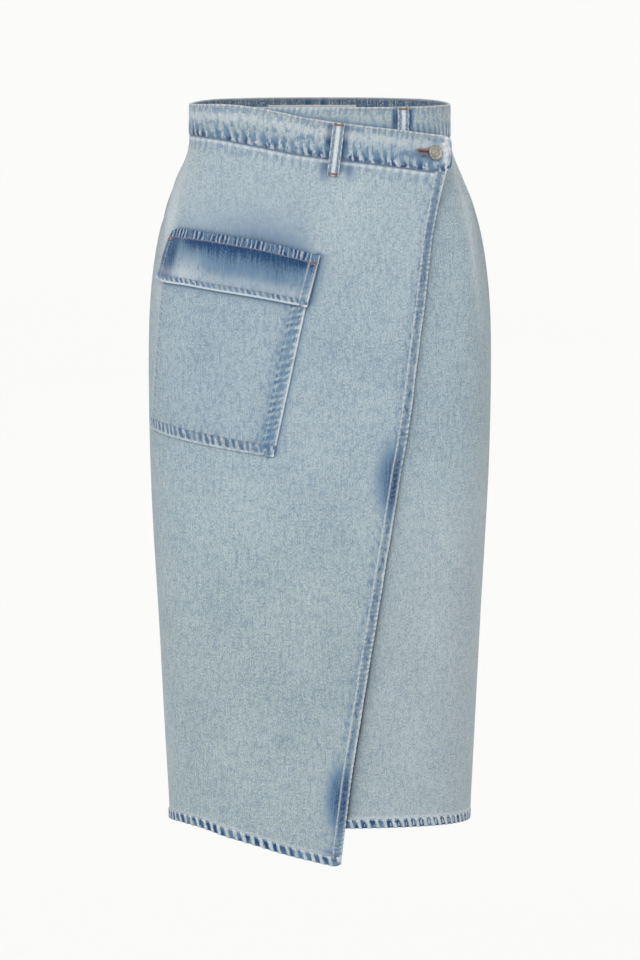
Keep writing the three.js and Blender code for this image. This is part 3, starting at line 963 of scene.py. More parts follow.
def over_waistband():
    """The slanting band, with its rounded end, its buttonhole and a rubbed top edge."""

    def place(across, down):
        s, z, top, bottom = over_band_spot(1 - (1 - across) ** 1.25, down)
        phase = lumps(s, BAND_PITCH, seed=41, wander=0.3)
        end, below, above = TAB_END - s, top - z, z - bottom
        out = over_band_face(s, z) + band_form(down, phase) * ease(end / 8) + seam_valley(s, z) * (s < 0)
        along, beside = hole_spot(s, z)
        from_hole = np.hypot(np.clip(along, -HOLE["length"], 0) - along, beside)
        fade_and_highlight = 1.1 * line(end - 4.5, 3.5) * (from_hole > 5)
        fade_and_highlight = fade_and_highlight + 0.9 * line(below - 0.5, 1.7) + 0.5 * line(below - 12, 6)
        share = 1.12 * above / 20
        seams = [
            triple(share, phase, 1 - clamp(share)),
            triple(below / 8, lumps(s, BAND_TOP_PITCH, seed=43), 0.25),
            triple(end / 9, lumps(z, BAND_TOP_PITCH, seed=44), 0.12 * (s > 100)),
        ]
        mottle = mix(0.85, 0.5, ease(above / 20))
        return s, z, out, panel_facts(s, z, seams, over_band_dye_and_shadow(s, z, bottom), fade_and_highlight, mottle)

    return cloth("over_waistband", place, cut=in_hole, inner="denim_band_inside")


def under_waistband():
    """The level band that shows beside the over front and runs on under it."""

    def place(across, down):
        z = band_level((side_seam(0) - UNDER_BAND_END) * (1 - across), down)
        s = mix(UNDER_BAND_END, side_seam(z), across)
        phase = lumps(s, BAND_PITCH, seed=51, wander=0.3)
        out = UNDER_BAND_OUT + band_form(down, phase, 0.6) * (s > 100) + seam_valley(s, z) * (s > 0)
        dark = beside_loop(s, z, UNDER_LOOP_S, 22, -30)
        dark = np.maximum(dark, 0.35 * line(z - over_band(s, "top"), 3.5) * (s < TAB_END))
        fade_and_highlight = 0.08 + rubbed_top(down * BAND_DEPTH)
        seams = level_band_seams(s, down, phase, 0.8, seed=53)
        return s, z, out, panel_facts(s, z, seams, dark, fade_and_highlight, 0.3)

    return cloth("under_waistband", place, inner="denim_band_inside")


def back_waistband():
    """The level band round the back."""

    def place(across, down):
        width = 2 * (half_round(0) - side_seam(0))
        z = band_level(width * np.minimum(across, 1 - across), down)
        s = mix(side_seam(z), 2 * half_round(z) - side_seam(z), across)
        phase = lumps(s, BAND_PITCH, seed=61, wander=0.3)
        out = BAND_OUT + band_form(down, phase, 0.8) + seam_valley(s, z)
        dark = 0.9 * beside_loop(s, z, half_round(z) - BACK_LOOP_X, 22, -30)
        seams = level_band_seams(s, down, phase, 0.85, seed=63)
        return s, z, out, panel_facts(s, z, seams, dark, rubbed_top(down * BAND_DEPTH), 0.75)

    return cloth("back_waistband", place, inner="denim_band_inside")


# Pocket and flap


def patch_spot(left, right, across, down, top, bottom):
    """s, z and width of a patch at shares across and down it, between its slanted sides."""
    low = mix(left["top"], left["bottom"], down)
    high = mix(right["top"], right["bottom"], down)
    return mix(low, high, across), mix(top, bottom, down), high - low


def pocket_edges(across):
    """Heights of the pocket's top, which the flap covers, and its bottom."""
    top = read(FLAP, "across", "top", across) - POCKET_UNDER_FLAP
    return top, read(POCKET_BOTTOM, "across", "z", across)


def flap_edges(across):
    """Heights of the flap's top and bottom."""
    return read(FLAP, "across", "top", across), read(FLAP, "across", "bottom", across)


def pocket_spot(across, down):
    """s, z and width of the pocket at shares across and down it."""
    return patch_spot(POCKET_LEFT, POCKET_RIGHT, across, down, *pocket_edges(across))


def flap_spot(across, down):
    """s, z and width of the flap at shares across and down it."""
    return patch_spot(FLAP_LEFT, FLAP_RIGHT, across, down, *flap_edges(across))


# Turned edges of the pocket and the flap, with the lumps along them.
# turn is an edge's width, and its roping goes from bare to roped, in millimetres from the edge.
POCKET_TURNS = table(
    "side turn bare roped pitch seed strength",
    ("right", 15.0, 2.2, 7.95, 8.0, 71, 0.5),
    ("bottom", 12.0, 2.2, 12.0, 7.0, 72, 0.6),
    ("left", 7.0, 2.2, 7.0, 7.0, 73, 0.3),
)
FLAP_TURNS = table(
    "side turn bare roped pitch seed strength",
    ("top", 9.0, 0, 9.0, 4.7, 81, 0.92),
    ("bottom", 7.0, 2.0, 7.0, 6.2, 82, 0.62),
    ("right", 9.0, 2.0, 9.0, 6.2, 83, 0.35),
    ("left", 7.0, 2.0, 7.0, 6.2, 84, 0.3),
)


def turned_edges(rows, gaps, s, z, wander):
    """Width of each turned edge, distance from it, phase of its lumps and its seam for the material."""
    for row in rows:
        gap = gaps[row["side"]]
        along = z if row["side"] in ("right", "left") else s
        phase = lumps(along, row["pitch"], row["seed"], wander)
        share = (gap - row["bare"]) / (row["roped"] - row["bare"])
        yield row["turn"], gap, phase, triple(share, phase, row["strength"])


def pocket_out(s, z, across, down):
    """How far the pocket's face lies outside the skin, with a little fullness in its middle."""
    full = POCKET_FULLNESS * ease(4 * across) * ease(4 * (1 - across)) * ease(4 * (1 - down))
    return over_face(s, z) + PATCH_GAP + full * ease(3 * down) + CLOTH


def pocket():
    """The patch pocket, with wide turnings that show as darker and paler columns."""

    def place(across, down):
        across, down = bunched(across, 0.35), bunched(down, 0.35)
        s, z, width = pocket_spot(across, down)
        right, left = (1 - across) * width, across * width
        up = z - pocket_edges(across)[1]
        out = pocket_out(s, z, across, down)
        seams = []
        gaps = {"right": right, "bottom": up, "left": left}
        for turn, gap, phase, seam in turned_edges(POCKET_TURNS, gaps, s, z, wander=0.3):
            inside = ease((turn - gap) / 1.5 + 0.5)
            out = out + 0.32 * inside + 0.25 * rope(gap / turn, phase) * inside * ease(gap / 2)
            out = out + 0.22 * pucker(gap - turn, phase, 5) * (gap > turn)
            seams.append(seam)
        second_column = lumps(z, SIDE_PITCH, seed=71, wander=0.3) + 0.25
        seams.append(triple((right - 8.6) / 7, second_column, 0.6))
        corner = line(right, 12) * line(up - 16, 14)
        under_flap = flap_edges(across)[1] - z
        dark = 0.16 * line(right - 15, 6) + 0.3 * line(right - 9, 2) + 0.4 * corner
        # Painted shadow on the pocket just under the flap's bottom edge
        dark = 0.05 + np.maximum(dark, 0.45 * np.exp(-np.abs(under_flap - 0.5) / 2.8))
        fade_and_highlight = 0.9 * line(right - 1.0, 1.4) + 0.6 * line(up - 0.8, 1.1) + 0.45 * line(left - 0.6, 1.1)
        mottle = 0.15 + 0.4 * line(right, 18) + 0.3 * line(up, 14)
        return s, z, out, panel_facts(s, z, seams, dark, fade_and_highlight, mottle)

    return cloth("pocket_cloth", place)


def flap_out(s, z, down):
    """How far the flap's face lies outside the skin, clear of the pocket under it."""
    clear = FLAP_STAND * ease(down / 0.24) + POCKET_FULLNESS * ease(3 * (down - 0.2))
    return over_face(s, z) + PATCH_GAP + clear + FLAP_THICK


def flap_dye(s, above, under, right, left):
    """Dye that the flap has kept: a band below its top edge that fades in streaks, and its left side."""
    streaks = 2.2 * np.sin(s / 9.0) + 1.2 * np.sin(s / 3.7 + 1) + 0.6 * np.sin(s / 1.9)
    fading = 13 + streaks + 7 * line(s + 70, 45)
    band = ease((above - 7) / 3) * (0.25 + 0.75 * ease((left - 8) / 30)) * decay(above - 12, fading)
    strip = 0.85 * ease(1 - (left - 16) / 11) * ease((under - 2) / 4)
    end = 0.6 * line(right - 8, 4.5)
    top = 0.85 * ease(1 - (above - 7) / 3)
    return np.maximum.reduce([1.15 * band, strip, end, top, 0.8 * line(above - 0.3, 0.8)])


def flap_wear(under, right, left):
    """Where the flap is rubbed pale: a patch at its left end, a line below its middle, and its edges."""
    patch = 0.4 * line(left - 36, 13) * line(under - 17, 13) + 0.3 * line(under - 11, 6)
    edges = 0.95 * line(under - 1.0, 1.4) + 0.75 * line(right - 0.9, 1.1) + 0.3 * line(left - 0.5, 1.0)
    return patch + edges + 0.5 * line(right - 9, 0.9)


def flap():
    """The pocket's flap, strongly roped along its top edge."""

    def place(across, down):
        across, down = bunched(across, 0.3), bunched(down, 0.3)
        s, z, width = flap_spot(across, down)
        top, bottom = flap_edges(across)
        right, left, under, above = (1 - across) * width, across * width, z - bottom, top - z
        out = flap_out(s, z, down)
        seams = []
        gaps = {"top": above, "bottom": under, "right": right, "left": left}
        for turn, gap, phase, seam in turned_edges(FLAP_TURNS, gaps, s, z, wander=0.2):
            inside = ease((turn - gap) / 1.2 + 0.5)
            out = out + 0.25 * inside + 0.26 * rope(gap / turn, phase) * inside * ease(gap / 1.5)
            seams.append(seam)
        dark = 0.13 + 0.87 * flap_dye(s, above, under, right, left)
        return s, z, out, panel_facts(s, z, seams, dark, flap_wear(under, right, left), 0.5)

    return cloth("flap_cloth", place)


# Belt loops


def on_band(z, bottom):
    """1 on a band, and less on the step down from it to the panel."""
    return ease((z - bottom + LOOP_STEP) / LOOP_STEP)


def full_arch(down):
    """How far a loop stands off the band between its two tacked ends."""
    return LOOP_ARCH * ease((down - 0.11) / 0.16) * ease((0.88 - down) / 0.22)


def over_loop_spot(side, down):
    """s, z and out on the slanting loop of the over band, at a distance to the side of its middle."""
    s = mix(OVER_LOOP["topS"], OVER_LOOP["bottomS"], down) + side
    z = OVER_LOOP["top"] - OVER_LOOP["lean"] * side - LOOP_LENGTH * down
    on = wrap_rise(s, z) + BAND_OUT * on_band(z, over_band(s, "bottom"))
    return s, z, on + full_arch(down)


def under_loop_spot(side, down):
    """s, z and out on the loop of the under band, which lies flat on its lower part."""
    z = LOOP_TOP - UNDER_LOOP_LENGTH * down
    arch = UNDER_LOOP_ARCH * ease((down - 0.08) / 0.1) * ease((0.42 - down) / 0.15)
    return UNDER_LOOP_S + side, z, UNDER_BAND_OUT * on_band(z, BAND_BOTTOM) + arch


def back_loop_spot(side, down):
    """s, z and out on the loop at the centre back."""
    z = LOOP_TOP - LOOP_LENGTH * down
    on = BAND_OUT * on_band(z, BAND_BOTTOM)
    return half_round(z) - BACK_LOOP_X + side, z, on + full_arch(down)


LOOPS = table(
    "name spot length band",
    ("belt_loop_over", over_loop_spot, LOOP_LENGTH, "waistband_over"),
    ("belt_loop_under", under_loop_spot, UNDER_LOOP_LENGTH, "waistband_under"),
    ("belt_loop_back", back_loop_spot, LOOP_LENGTH, "waistband_back"),
)
LOOP_STITCH = 3.7  # from the middle of the loop to each row of stitches


def loop_face(spot, side, down):
    """Outer face of a loop, low in the two channels where it is stitched."""
    s, z, out = spot(side, down)
    channel = line(np.abs(side) - LOOP_STITCH, 0.8)
    crown = 0.35 * (1 - (side / 4.2) ** 2) * (np.abs(side) < 4.2)
    return s, z, out + PATCH_GAP + LOOP_THICK + 0.45 - 0.3 * channel + crown


def belt_loop(row):
    """One loop, standing off its band, with a pale crown between two dark rows of stitches."""

    def place(across, down):
        side = (across - 0.5) * LOOP_WIDTH
        s, z, out = loop_face(row["spot"], side, down)
        phase = lumps(down * row["length"], LOOP_PITCH, seed=91, wander=0.4)
        out = out + 0.18 * rope(0, phase) * (np.abs(side) > 2)
        edge = LOOP_WIDTH / 2 - np.abs(side)
        fade_and_highlight = 1.1 * np.exp(-((side / 2.1) ** 4)) + 0.9 * line(edge - 0.4, 0.9)
        ends = 0.5 * ease((down - 0.9) / 0.06) + 0.4 * ease((0.05 - down) / 0.03)
        dark = np.maximum(0.95 * line(np.abs(side) - LOOP_STITCH, 1.0), ends)
        return s, z, out, panel_facts(s, z, [triple(edge / 4.0, phase, 0.3)], dark, fade_and_highlight, 0.4)

    return cloth(row["name"] + "_cloth", place)


# Label


def label():
    """A flat, blank strip inside the back of the band."""

    def place(across, down):
        z = mix(LABEL["top"], LABEL["bottom"], down)
        s = half_round(0) + LABEL["shift"] + (0.5 - across) * LABEL["width"]
        wave = 0.25 * np.sin(across * 17) * ease(4 * down) + 0.15 * np.sin(across * 41 + 4 * down)
        return s, z, LABEL["out"] - 0.1 - 0.3 * (1 + wave), {}

    piece = cloth("blank_label", place)
    piece.data.materials.clear()
    piece.data.materials.append(bpy.data.materials["label"])
    piece.modifiers["Wall"].material_offset = 0
    return piece


# Button


def button_frame():
    """Frame of the buttoned end at the button's centre: x along the band, y up it and z out of its face."""
    middle, radius = (BUTTON["s"], BUTTON["z"]), BUTTON["radius"]

    def at(s, z):
        return Vector(skin(s, z, wrap_rise(np.float64(s), np.float64(z)) + BAND_OUT)[0])

    along = (at(middle[0] + radius, middle[1]) - at(middle[0] - radius, middle[1])).normalized()
    up = at(middle[0], middle[1] + radius) - at(middle[0], middle[1] - radius)
    out = along.cross(up).normalized()
    along = Matrix.Rotation(HOLE_SLOPE, 3, out) @ along
    turn = Matrix((along, out.cross(along), out)).transposed().to_4x4()
    return Matrix.Translation(at(*middle)) @ turn


def button_profile():
    """Half section of the button from the foot of its shank to its middle, as radius and height."""
    rim, seat, shank = BUTTON["radius"], BUTTON["seat"], BUTTON["shank_radius"]
    top = seat + BUTTON["cap"]
    foot = -BUTTON["shank"]
    stem = [(0, foot), (shank - 0.4, foot), (shank, foot + 0.4), (shank, seat - 0.3), (shank + 0.8, seat)]
    underside = [(rim - 1.0, seat + 0.05), (rim - 0.35, seat + 0.3), (rim, seat + 0.95)]
    rolled_rim = [(0, 1.15), (0.18, 0.6), (0.55, 0.2), (1.05, 0.04)]
    ring = [(1.5, 0.12), (1.85, 0.42), (2.15, 0.62), (2.8, 0.66)]
    dome = [(3.6, 0.55), (4.6, 0.3), (5.9, 0.08), (rim, 0)]
    face = [(rim - inwards, top - down) for inwards, down in rolled_rim + ring + dome]
    return stem + underside + face


def button():
    """Worn tack button: a rolled rim, a sunken ring and a low dome in the middle."""
    bm = bmesh.new()
    verts = [bm.verts.new((x, 0, y)) for x, y in button_profile()]
    edges = [bm.edges.new(pair) for pair in zip(verts, verts[1:])]
    bmesh.ops.spin(
        bm, geom=verts + edges, cent=(0, 0, 0), axis=(0, 0, 1), angle=2 * math.pi, steps=64, use_merge=True
    )
    bmesh.ops.remove_doubles(bm, verts=bm.verts, dist=1e-3)
    bmesh.ops.transform(bm, matrix=Matrix.Scale(MM, 4) @ button_frame(), verts=bm.verts)
    bmesh.ops.recalc_face_normals(bm, faces=bm.faces)
    mesh = bpy.data.meshes.new("tack_button")
    bm.to_mesh(mesh)
    bm.free()
    piece = bpy.data.objects.new("tack_button", mesh)
    return finish_piece(piece, [bpy.data.materials["pewter"]], "button_metal", ["waist_button"])


# Stitches


def stitch_form():
    """One stitch as a small capsule, 1 long along x, 1 wide and 1 high, as points and triangles."""
    bm = bmesh.new()
    bmesh.ops.create_uvsphere(bm, u_segments=6, v_segments=4, radius=0.5)
    bmesh.ops.rotate(bm, verts=bm.verts, cent=(0, 0, 0), matrix=Matrix.Rotation(math.pi / 2, 3, "Y"))
    bmesh.ops.triangulate(bm, faces=bm.faces)
    bm.verts.ensure_lookup_table()
    points = np.array([v.co for v in bm.verts])
    points[:, 0] = np.sign(points[:, 0]) * np.abs(2 * points[:, 0]) ** 0.6 / 2
    faces = np.array([[v.index for v in face.verts] for face in bm.faces])
    bm.free()
    return points, faces


def row_of_stitches(s, z, out, pitch=3.2, length=2.6, width=0.62, height=0.55, lift=0.05, turned=False):
    """Frames of the stitches along a line on the cloth: middles and their three axes, already sized.

    turned lays each stitch across the line, as in a bar tack or round a buttonhole.
    """
    points, outward = skin(s, z, out)
    steps = np.linalg.norm(np.diff(points, axis=0), axis=1)
    walked = np.concatenate([[0], np.cumsum(steps)])
    places = np.arange(pitch / 2, walked[-1], pitch)
    middle = np.stack([np.interp(places, walked, points[:, k]) for k in range(3)], axis=1)
    face = np.stack([np.interp(places, walked, outward[:, k]) for k in range(3)], axis=1)
    ahead = [np.interp(places + 0.3, walked, points[:, k]) for k in range(3)]
    behind = [np.interp(places - 0.3, walked, points[:, k]) for k in range(3)]
    along = np.stack(ahead, axis=1) - np.stack(behind, axis=1)
    along /= np.linalg.norm(along, axis=1, keepdims=True)
    face -= along * (face * along).sum(1, keepdims=True)
    face /= np.linalg.norm(face, axis=1, keepdims=True)
    beside = np.cross(face, along)
    if turned:
        along, beside = beside, -along
    middle = middle + face * lift
    return middle, along * length, beside * width, face * height


def stitches(name, rows, thread):
    """Many stitches as one mesh: the one form repeated at each frame, with a little seeded unevenness."""
    form, faces = stitch_form()
    seed = len(name)
    rng = np.random.default_rng(seed)
    middle, along, beside, face = (np.concatenate([row[k] for row in rows]) for k in range(4))
    count = len(middle)
    middle = middle + beside * rng.normal(0, 0.07, (count, 1))
    along = along * rng.uniform(0.9, 1.06, (count, 1)) + beside * rng.normal(0, 0.12, (count, 1))
    points = (
        middle[:, None]
        + form[None, :, [0]] * along[:, None]
        + form[None, :, [1]] * beside[:, None]
        + form[None, :, [2]] * face[:, None]
    )
    corners = faces[None] + (np.arange(count) * len(form))[:, None, None]
    mesh = bpy.data.meshes.new(name)
    mesh.from_pydata([], [], [])
    mesh.vertices.add(count * len(form))
    mesh.loops.add(corners.size)
    mesh.polygons.add(count * len(faces))
    mesh.vertices.foreach_set("co", (points * MM).astype(np.float32).ravel())
    mesh.loops.foreach_set("vertex_index", corners.astype(np.int32).ravel())
    mesh.polygons.foreach_set("loop_start", np.arange(0, corners.size, 3, dtype=np.int32))
    mesh.polygons.foreach_set("loop_total", np.full(count * len(faces), 3, np.int32))
    mesh.update(calc_edges=True)
    write_facts(mesh, {"tone": np.repeat(rng.uniform(0, 1, count), len(form))})
    piece = bpy.data.objects.new(name, mesh)
    return finish_piece(piece, [bpy.data.materials[thread]], "thread")


def run(start, end, count=400):
    """Even places from start to end."""
    return np.linspace(start, end, count)


def bar_tack(s, z, out, length=2.6):
    """Close upright stitches along a short line."""
    return row_of_stitches(s, z, out, pitch=0.85, length=length, width=0.95, height=0.8, turned=True)


HEM_STITCH = HEM_WIDTH - 1.2  # from the edge of a hem to its stitches


def hem_stitches():
    """Rows along the hems and the over front's edge."""
    seam = side_seam(HEM)
    s = run(-seam + 2, 11)
    z = over_hem(s) + HEM_STITCH
    yield row_of_stitches(s, z, over_face(s, z) + FOLD_OUT + 0.2)
    z = run(-52, -757, 900)
    s = wrap_edge(z) - EDGE_WIDTH + 1.0
    yield row_of_stitches(s, z, over_face(s, z) + FOLD_OUT + 0.1)
    for start, end in ((-40, seam - 2), (seam + 2, 2 * half_round(HEM) - seam - 2)):
        s, z = run(start, end), HEM + HEM_STITCH
        yield row_of_stitches(s, z, creases(s, z) + LEVEL_FOLD_OUT + 0.1)


def side_stitches():
    """Rows behind both side seams."""
    z = run(BAND_BOTTOM - 3, HEM + HEM_WIDTH + 2, 900)
    for side in (1, -1):
        s = half_round(z) + side * (side_seam(z) + 3.2 - half_round(z))
        yield row_of_stitches(s, z, creases(s, z) + 0.15)


BAND_STITCH_TOP = -2.2  # from each edge of a band to its stitches
BAND_STITCH_BOTTOM = 1.8


def level_band_rows(s, from_seam, top=BAND_TOP):
    """s and z of the two rows of stitches of a level band, which dip with its top edge."""
    dip = SIDE_DIP * ease(1 - from_seam / SIDE_DIP_LENGTH)
    return (s, top + BAND_STITCH_TOP - dip), (s, BAND_BOTTOM + BAND_STITCH_BOTTOM)


def band_stitches():
    """Rows along the edges of the bands and round the over band's end."""
    for edge, inset in (("top", BAND_STITCH_TOP), ("bottom", BAND_STITCH_BOTTOM)):
        s = run(-side_seam(0) + 2, TAB_END - 9, 700)
        z = over_band(s, edge) + inset
        yield row_of_stitches(s, z, over_band_face(s, z) + 0.12)
    turns = run(-90, 90, 60)
    s = TAB_END - 2.2 - 5.5 * (1 - np.cos(np.radians(turns)))
    z = mix(over_band(TAB_END, "bottom") + 4, over_band(TAB_END, "top") - 4, (turns + 90) / 180)
    z = z + 1.8 * np.sin(np.radians(turns))
    yield row_of_stitches(s, z, over_band_face(s, z) + 0.12)
    seam, far_seam = side_seam(0), 2 * half_round(0) - side_seam(0)
    s = run(20, seam - 2, 500)
    for row in level_band_rows(s, seam - s, BAND_TOP - 0.3):
        yield row_of_stitches(*row, UNDER_BAND_OUT + 0.15)
    s = run(seam + 2, far_seam - 2, 800)
    for row in level_band_rows(s, np.minimum(s - seam, far_seam - s)):
        yield row_of_stitches(*row, BAND_OUT + 0.15)
        yield row_of_stitches(*row, BAND_OUT - BAND_THICK - 0.05, lift=-0.05)


def flap_line(edge, inset):
    """s, z and out of a line along the flap, at a distance from its top or bottom edge."""
    across = run(0.02, 0.98)
    top, bottom = flap_edges(across)
    depth = inset / (top - bottom)
    down = depth if edge == "top" else 1 - depth
    s, z, _ = flap_spot(across, down)
    return s, z, flap_out(s, z, down) + 0.2


def flap_side(inset, left):
    """s, z and out of a line down the flap, at a distance from its left or right side."""
    down = run(0.16, 0.94, 120)
    width = FLAP_RIGHT["top"] - FLAP_LEFT["top"]
    across = np.full_like(down, inset / width if left else 1 - inset / width)
    s, z, _ = flap_spot(across, down)
    return s, z, flap_out(s, z, down) + 0.2


def pocket_line(side, inset):
    """s, z and out of a line along one side of the pocket, at a distance from its edge."""
    width, height = 160, 195
    if side == "bottom":
        across = run(0.02, 0.98, 300)
        down = np.full_like(across, 1 - inset / height)
    else:
        down = run(0.1, 0.985, 300)
        across = np.full_like(down, inset / width if side == "left" else 1 - inset / width)
    s, z, _ = pocket_spot(across, down)
    return s, z, pocket_out(s, z, across, down) + 0.35


def pocket_rust_rows():
    """Rust rows across the flap and along the bottom of the pocket."""
    for edge, inset in (("top", 9.2), ("bottom", 6.4)):
        yield row_of_stitches(*flap_line(edge, inset))
    for inset in (5.0, 11.0):
        yield row_of_stitches(*pocket_line("bottom", inset))


def pocket_pale_rows():
    """Pale rows down the sides of the flap and the pocket."""
    for inset, left in ((3.2, False), (8.8, False), (5.5, True)):
        yield row_of_stitches(*flap_side(inset, left))
    for side, inset in (("right", 3.4), ("right", 12.5), ("left", 4.5)):
        yield row_of_stitches(*pocket_line(side, inset))


def loop_rows():
    """Two rows down each loop."""
    for row in LOOPS:
        for side in (-LOOP_STITCH, LOOP_STITCH):
            down = run(0.05, 0.95, 200)
            s, z, out = loop_face(row["spot"], np.full_like(down, side), down)
            yield row_of_stitches(s, z, out, pitch=2.9, length=2.4, width=0.65, height=0.5)


def loop_tacks():
    """A bar tack across each end of each loop."""
    for row in LOOPS:
        for down in (0.035, 0.965):
            side = run(-LOOP_WIDTH / 2 + 0.8, LOOP_WIDTH / 2 - 0.8, 60)
            s, z, out = loop_face(row["spot"], side, np.full_like(side, down))
            yield bar_tack(s, z, out + 0.1)


def flap_tacks():
    """A bar tack at each upper corner of the flap."""
    for across in (0.03, 0.97):
        share = across + run(-0.026, 0.026, 40)
        down = np.full_like(share, 0.17)
        s, z, _ = flap_spot(share, down)
        yield bar_tack(s, z, flap_out(s, z, down) + 0.4, 2.2)


def buttonhole_stitches():
    """Close stitches laid across the edge of the buttonhole, all the way round."""
    half = HOLE["width"] / 2 + 0.5
    eye = HOLE["eye"] + 0.4
    opening = math.degrees(math.asin(half / eye))
    turns = np.radians(run(180 - opening, -180 + opening, 160))
    end = np.radians(run(-90, -270, 40))
    upper = (run(-HOLE["length"], -eye, 90), np.full(90, half))
    round_eye = (eye * np.cos(turns), eye * np.sin(turns))
    lower = (run(-eye, -HOLE["length"], 90), np.full(90, -half))
    round_end = (half * np.cos(end) - HOLE["length"], half * np.sin(end))
    along, across = np.concatenate([upper, round_eye, lower, round_end], axis=1)
    s, z = beside_hole(along, across)
    close = {"pitch": 0.62, "width": 0.66, "turned": True}
    yield row_of_stitches(s, z, over_band_face(s, z) + 0.3, length=2.0, height=0.7, **close)
    for side in (1, -1):
        along = run(-HOLE["length"] + 2, -eye - 0.5, 60)
        spread = ease((along + HOLE["length"]) / (HOLE["length"] - eye)) ** 1.3
        s, z = beside_hole(along, side * mix(half, eye, spread))
        yield row_of_stitches(s, z, over_band_face(s, z) + 0.25, length=2.2, height=0.6, **close)


# Materials


def linear(code):
    """Linear colour of an sRGB hex value."""
    parts = [int(code[i : i + 2], 16) / 255 for i in (1, 3, 5)]
    return [c / 12.92 if c <= 0.04045 else ((c + 0.055) / 1.055) ** 2.4 for c in parts]


def add(tree, kind, inputs=None, out=0, **settings):
    """Adds a node with its settings, its inputs set or linked, and returns one of its outputs."""
    node = tree.nodes.new(kind)
    for name, value in settings.items():
        setattr(node, name, value)
    for key, value in (inputs or {}).items():
        if isinstance(value, bpy.types.NodeSocket):
            tree.links.new(value, node.inputs[key])
        else:
            node.inputs[key].default_value = (*value, 1) if isinstance(value, Color) else value
    return node if out is None else node.outputs[out]


def surface(name, constants):
    """A new material with its shader, whose constants are set on its own sockets."""
    material = bpy.data.materials.new(name)
    material.use_nodes = True
    tree = material.node_tree
    shader = tree.nodes["Principled BSDF"]
    for key, value in constants.items():
        shader.inputs[key].default_value = value
    return material, tree, shader


# Settings that several nodes share
OVER = {"out": 2, "data_type": "RGBA", "clamp_factor": True}  # lays one colour over another
TINT = {**OVER, "blend_type": "MULTIPLY"}  # passes a colour through a tint, which leaves its pattern
SMOOTH = {"interpolation_type": "SMOOTHSTEP"}
TIMES = {"operation": "MULTIPLY", "use_clamp": True}
TIMES_PLUS = {"operation": "MULTIPLY_ADD"}


def dyed(tree, colour, amount, look):
    """Cloth that has kept some of its dye: clear blue first, then dark indigo. The same colours lay the
    painted shadows.
    """
    first = add(tree, "ShaderNodeMath", {0: amount, 1: 2.0}, operation="MULTIPLY")
    second = add(tree, "ShaderNodeMath", {0: first, 1: -1.0}, operation="ADD")
    colour = add(tree, "ShaderNodeMix", {0: first, 6: colour, 7: look.blue}, **OVER)
    return add(tree, "ShaderNodeMix", {0: second, 6: colour, 7: look.indigo}, **OVER)


def roped(tree, colour, seam, wander, patchy, look):
    """Lays a seam's lumps on a colour: indigo kept in the hollows, white worn on the crowns."""
    facts = add(tree, "ShaderNodeAttribute", out="Vector", attribute_name=seam)
    share, phase, strength = add(tree, "ShaderNodeSeparateXYZ", {0: facts}, out=None).outputs
    slanted = add(tree, "ShaderNodeMath", {0: share, 1: ROPE_SLANT, 2: phase}, **TIMES_PLUS)
    wandering = add(tree, "ShaderNodeMath", {0: slanted, 1: wander}, operation="ADD")
    turned = add(tree, "ShaderNodeMath", {0: wandering, 1: 2 * math.pi}, operation="MULTIPLY")
    lump = add(tree, "ShaderNodeMath", {0: turned}, operation="SINE")
    past_edge = add(tree, "ShaderNodeMapRange", {0: share, 1: 0.0, 2: 0.04}, **SMOOTH)
    before_end = add(tree, "ShaderNodeMapRange", {0: share, 1: 1.06, 2: 0.88}, **SMOOTH)
    within = add(tree, "ShaderNodeMath", {0: before_end, 1: past_edge}, **TIMES)
    within = add(tree, "ShaderNodeMath", {0: within, 1: strength}, **TIMES)
    uneven = add(tree, "ShaderNodeMapRange", {0: patchy, 1: 0.38, 2: 0.58, 3: 0.65, 4: 1.15}, **SMOOTH)
    amount = add(tree, "ShaderNodeMath", {0: within, 1: uneven}, **TIMES)
    hollow = add(tree, "ShaderNodeMapRange", {0: lump, 1: 0.5, 2: -0.55}, **SMOOTH)
    colour = dyed(tree, colour, add(tree, "ShaderNodeMath", {0: amount, 1: hollow}, **TIMES), look)
    crown = add(tree, "ShaderNodeMapRange", {0: lump, 1: 0.35, 2: 0.95, 4: 0.5}, **SMOOTH)
    strongest = add(tree, "ShaderNodeMath", {0: amount, 1: amount}, **TIMES)
    bared = add(tree, "ShaderNodeMath", {0: strongest, 1: crown}, **TIMES)
    return add(tree, "ShaderNodeMix", {0: bared, 6: colour, 7: look.worn}, **OVER)


# Sizes of the weave's unevenness, in millimetres across and along the warp
SPECKLE = (1.25, 1.9)
BLOTCH = (4.2, 8.5)
PATCH = (14.0, 20.0)
SLUB = (1.5, 24.0)
CLOUD = (55.0, 90.0)
TWILL_PITCH = 1.5  # real denim's is 0.7, too fine to show, so it is drawn coarser
TAPE_PITCH = 0.9  # real tape's is 0.35, too fine to show, so it is drawn coarser


def weave_noise(tree, lay, size, detail):
    """Noise stretched to a size in millimetres on the cloth."""
    scaled = add(tree, "ShaderNodeMapping", {"Vector": lay, "Scale": (1 / size[0], 1 / size[1], 1)})
    settings = {"Vector": scaled, "Scale": 1.0, "Detail": detail, "Roughness": 0.62}
    return add(tree, "ShaderNodeTexNoise", settings, out="Fac")


def twill(tree, lay):
    """The slanted ribs of the weave, from 0 to 1."""
    mirrored = add(tree, "ShaderNodeMapping", {"Vector": lay, "Scale": (1, -1, 0)})
    lines = 2 * math.pi / (10 * TWILL_PITCH * math.sqrt(2))
    inputs = {"Vector": mirrored, "Scale": lines, "Distortion": 0.6, "Detail": 1.0}
    return add(tree, "ShaderNodeTexWave", inputs, out="Fac", bands_direction="DIAGONAL")


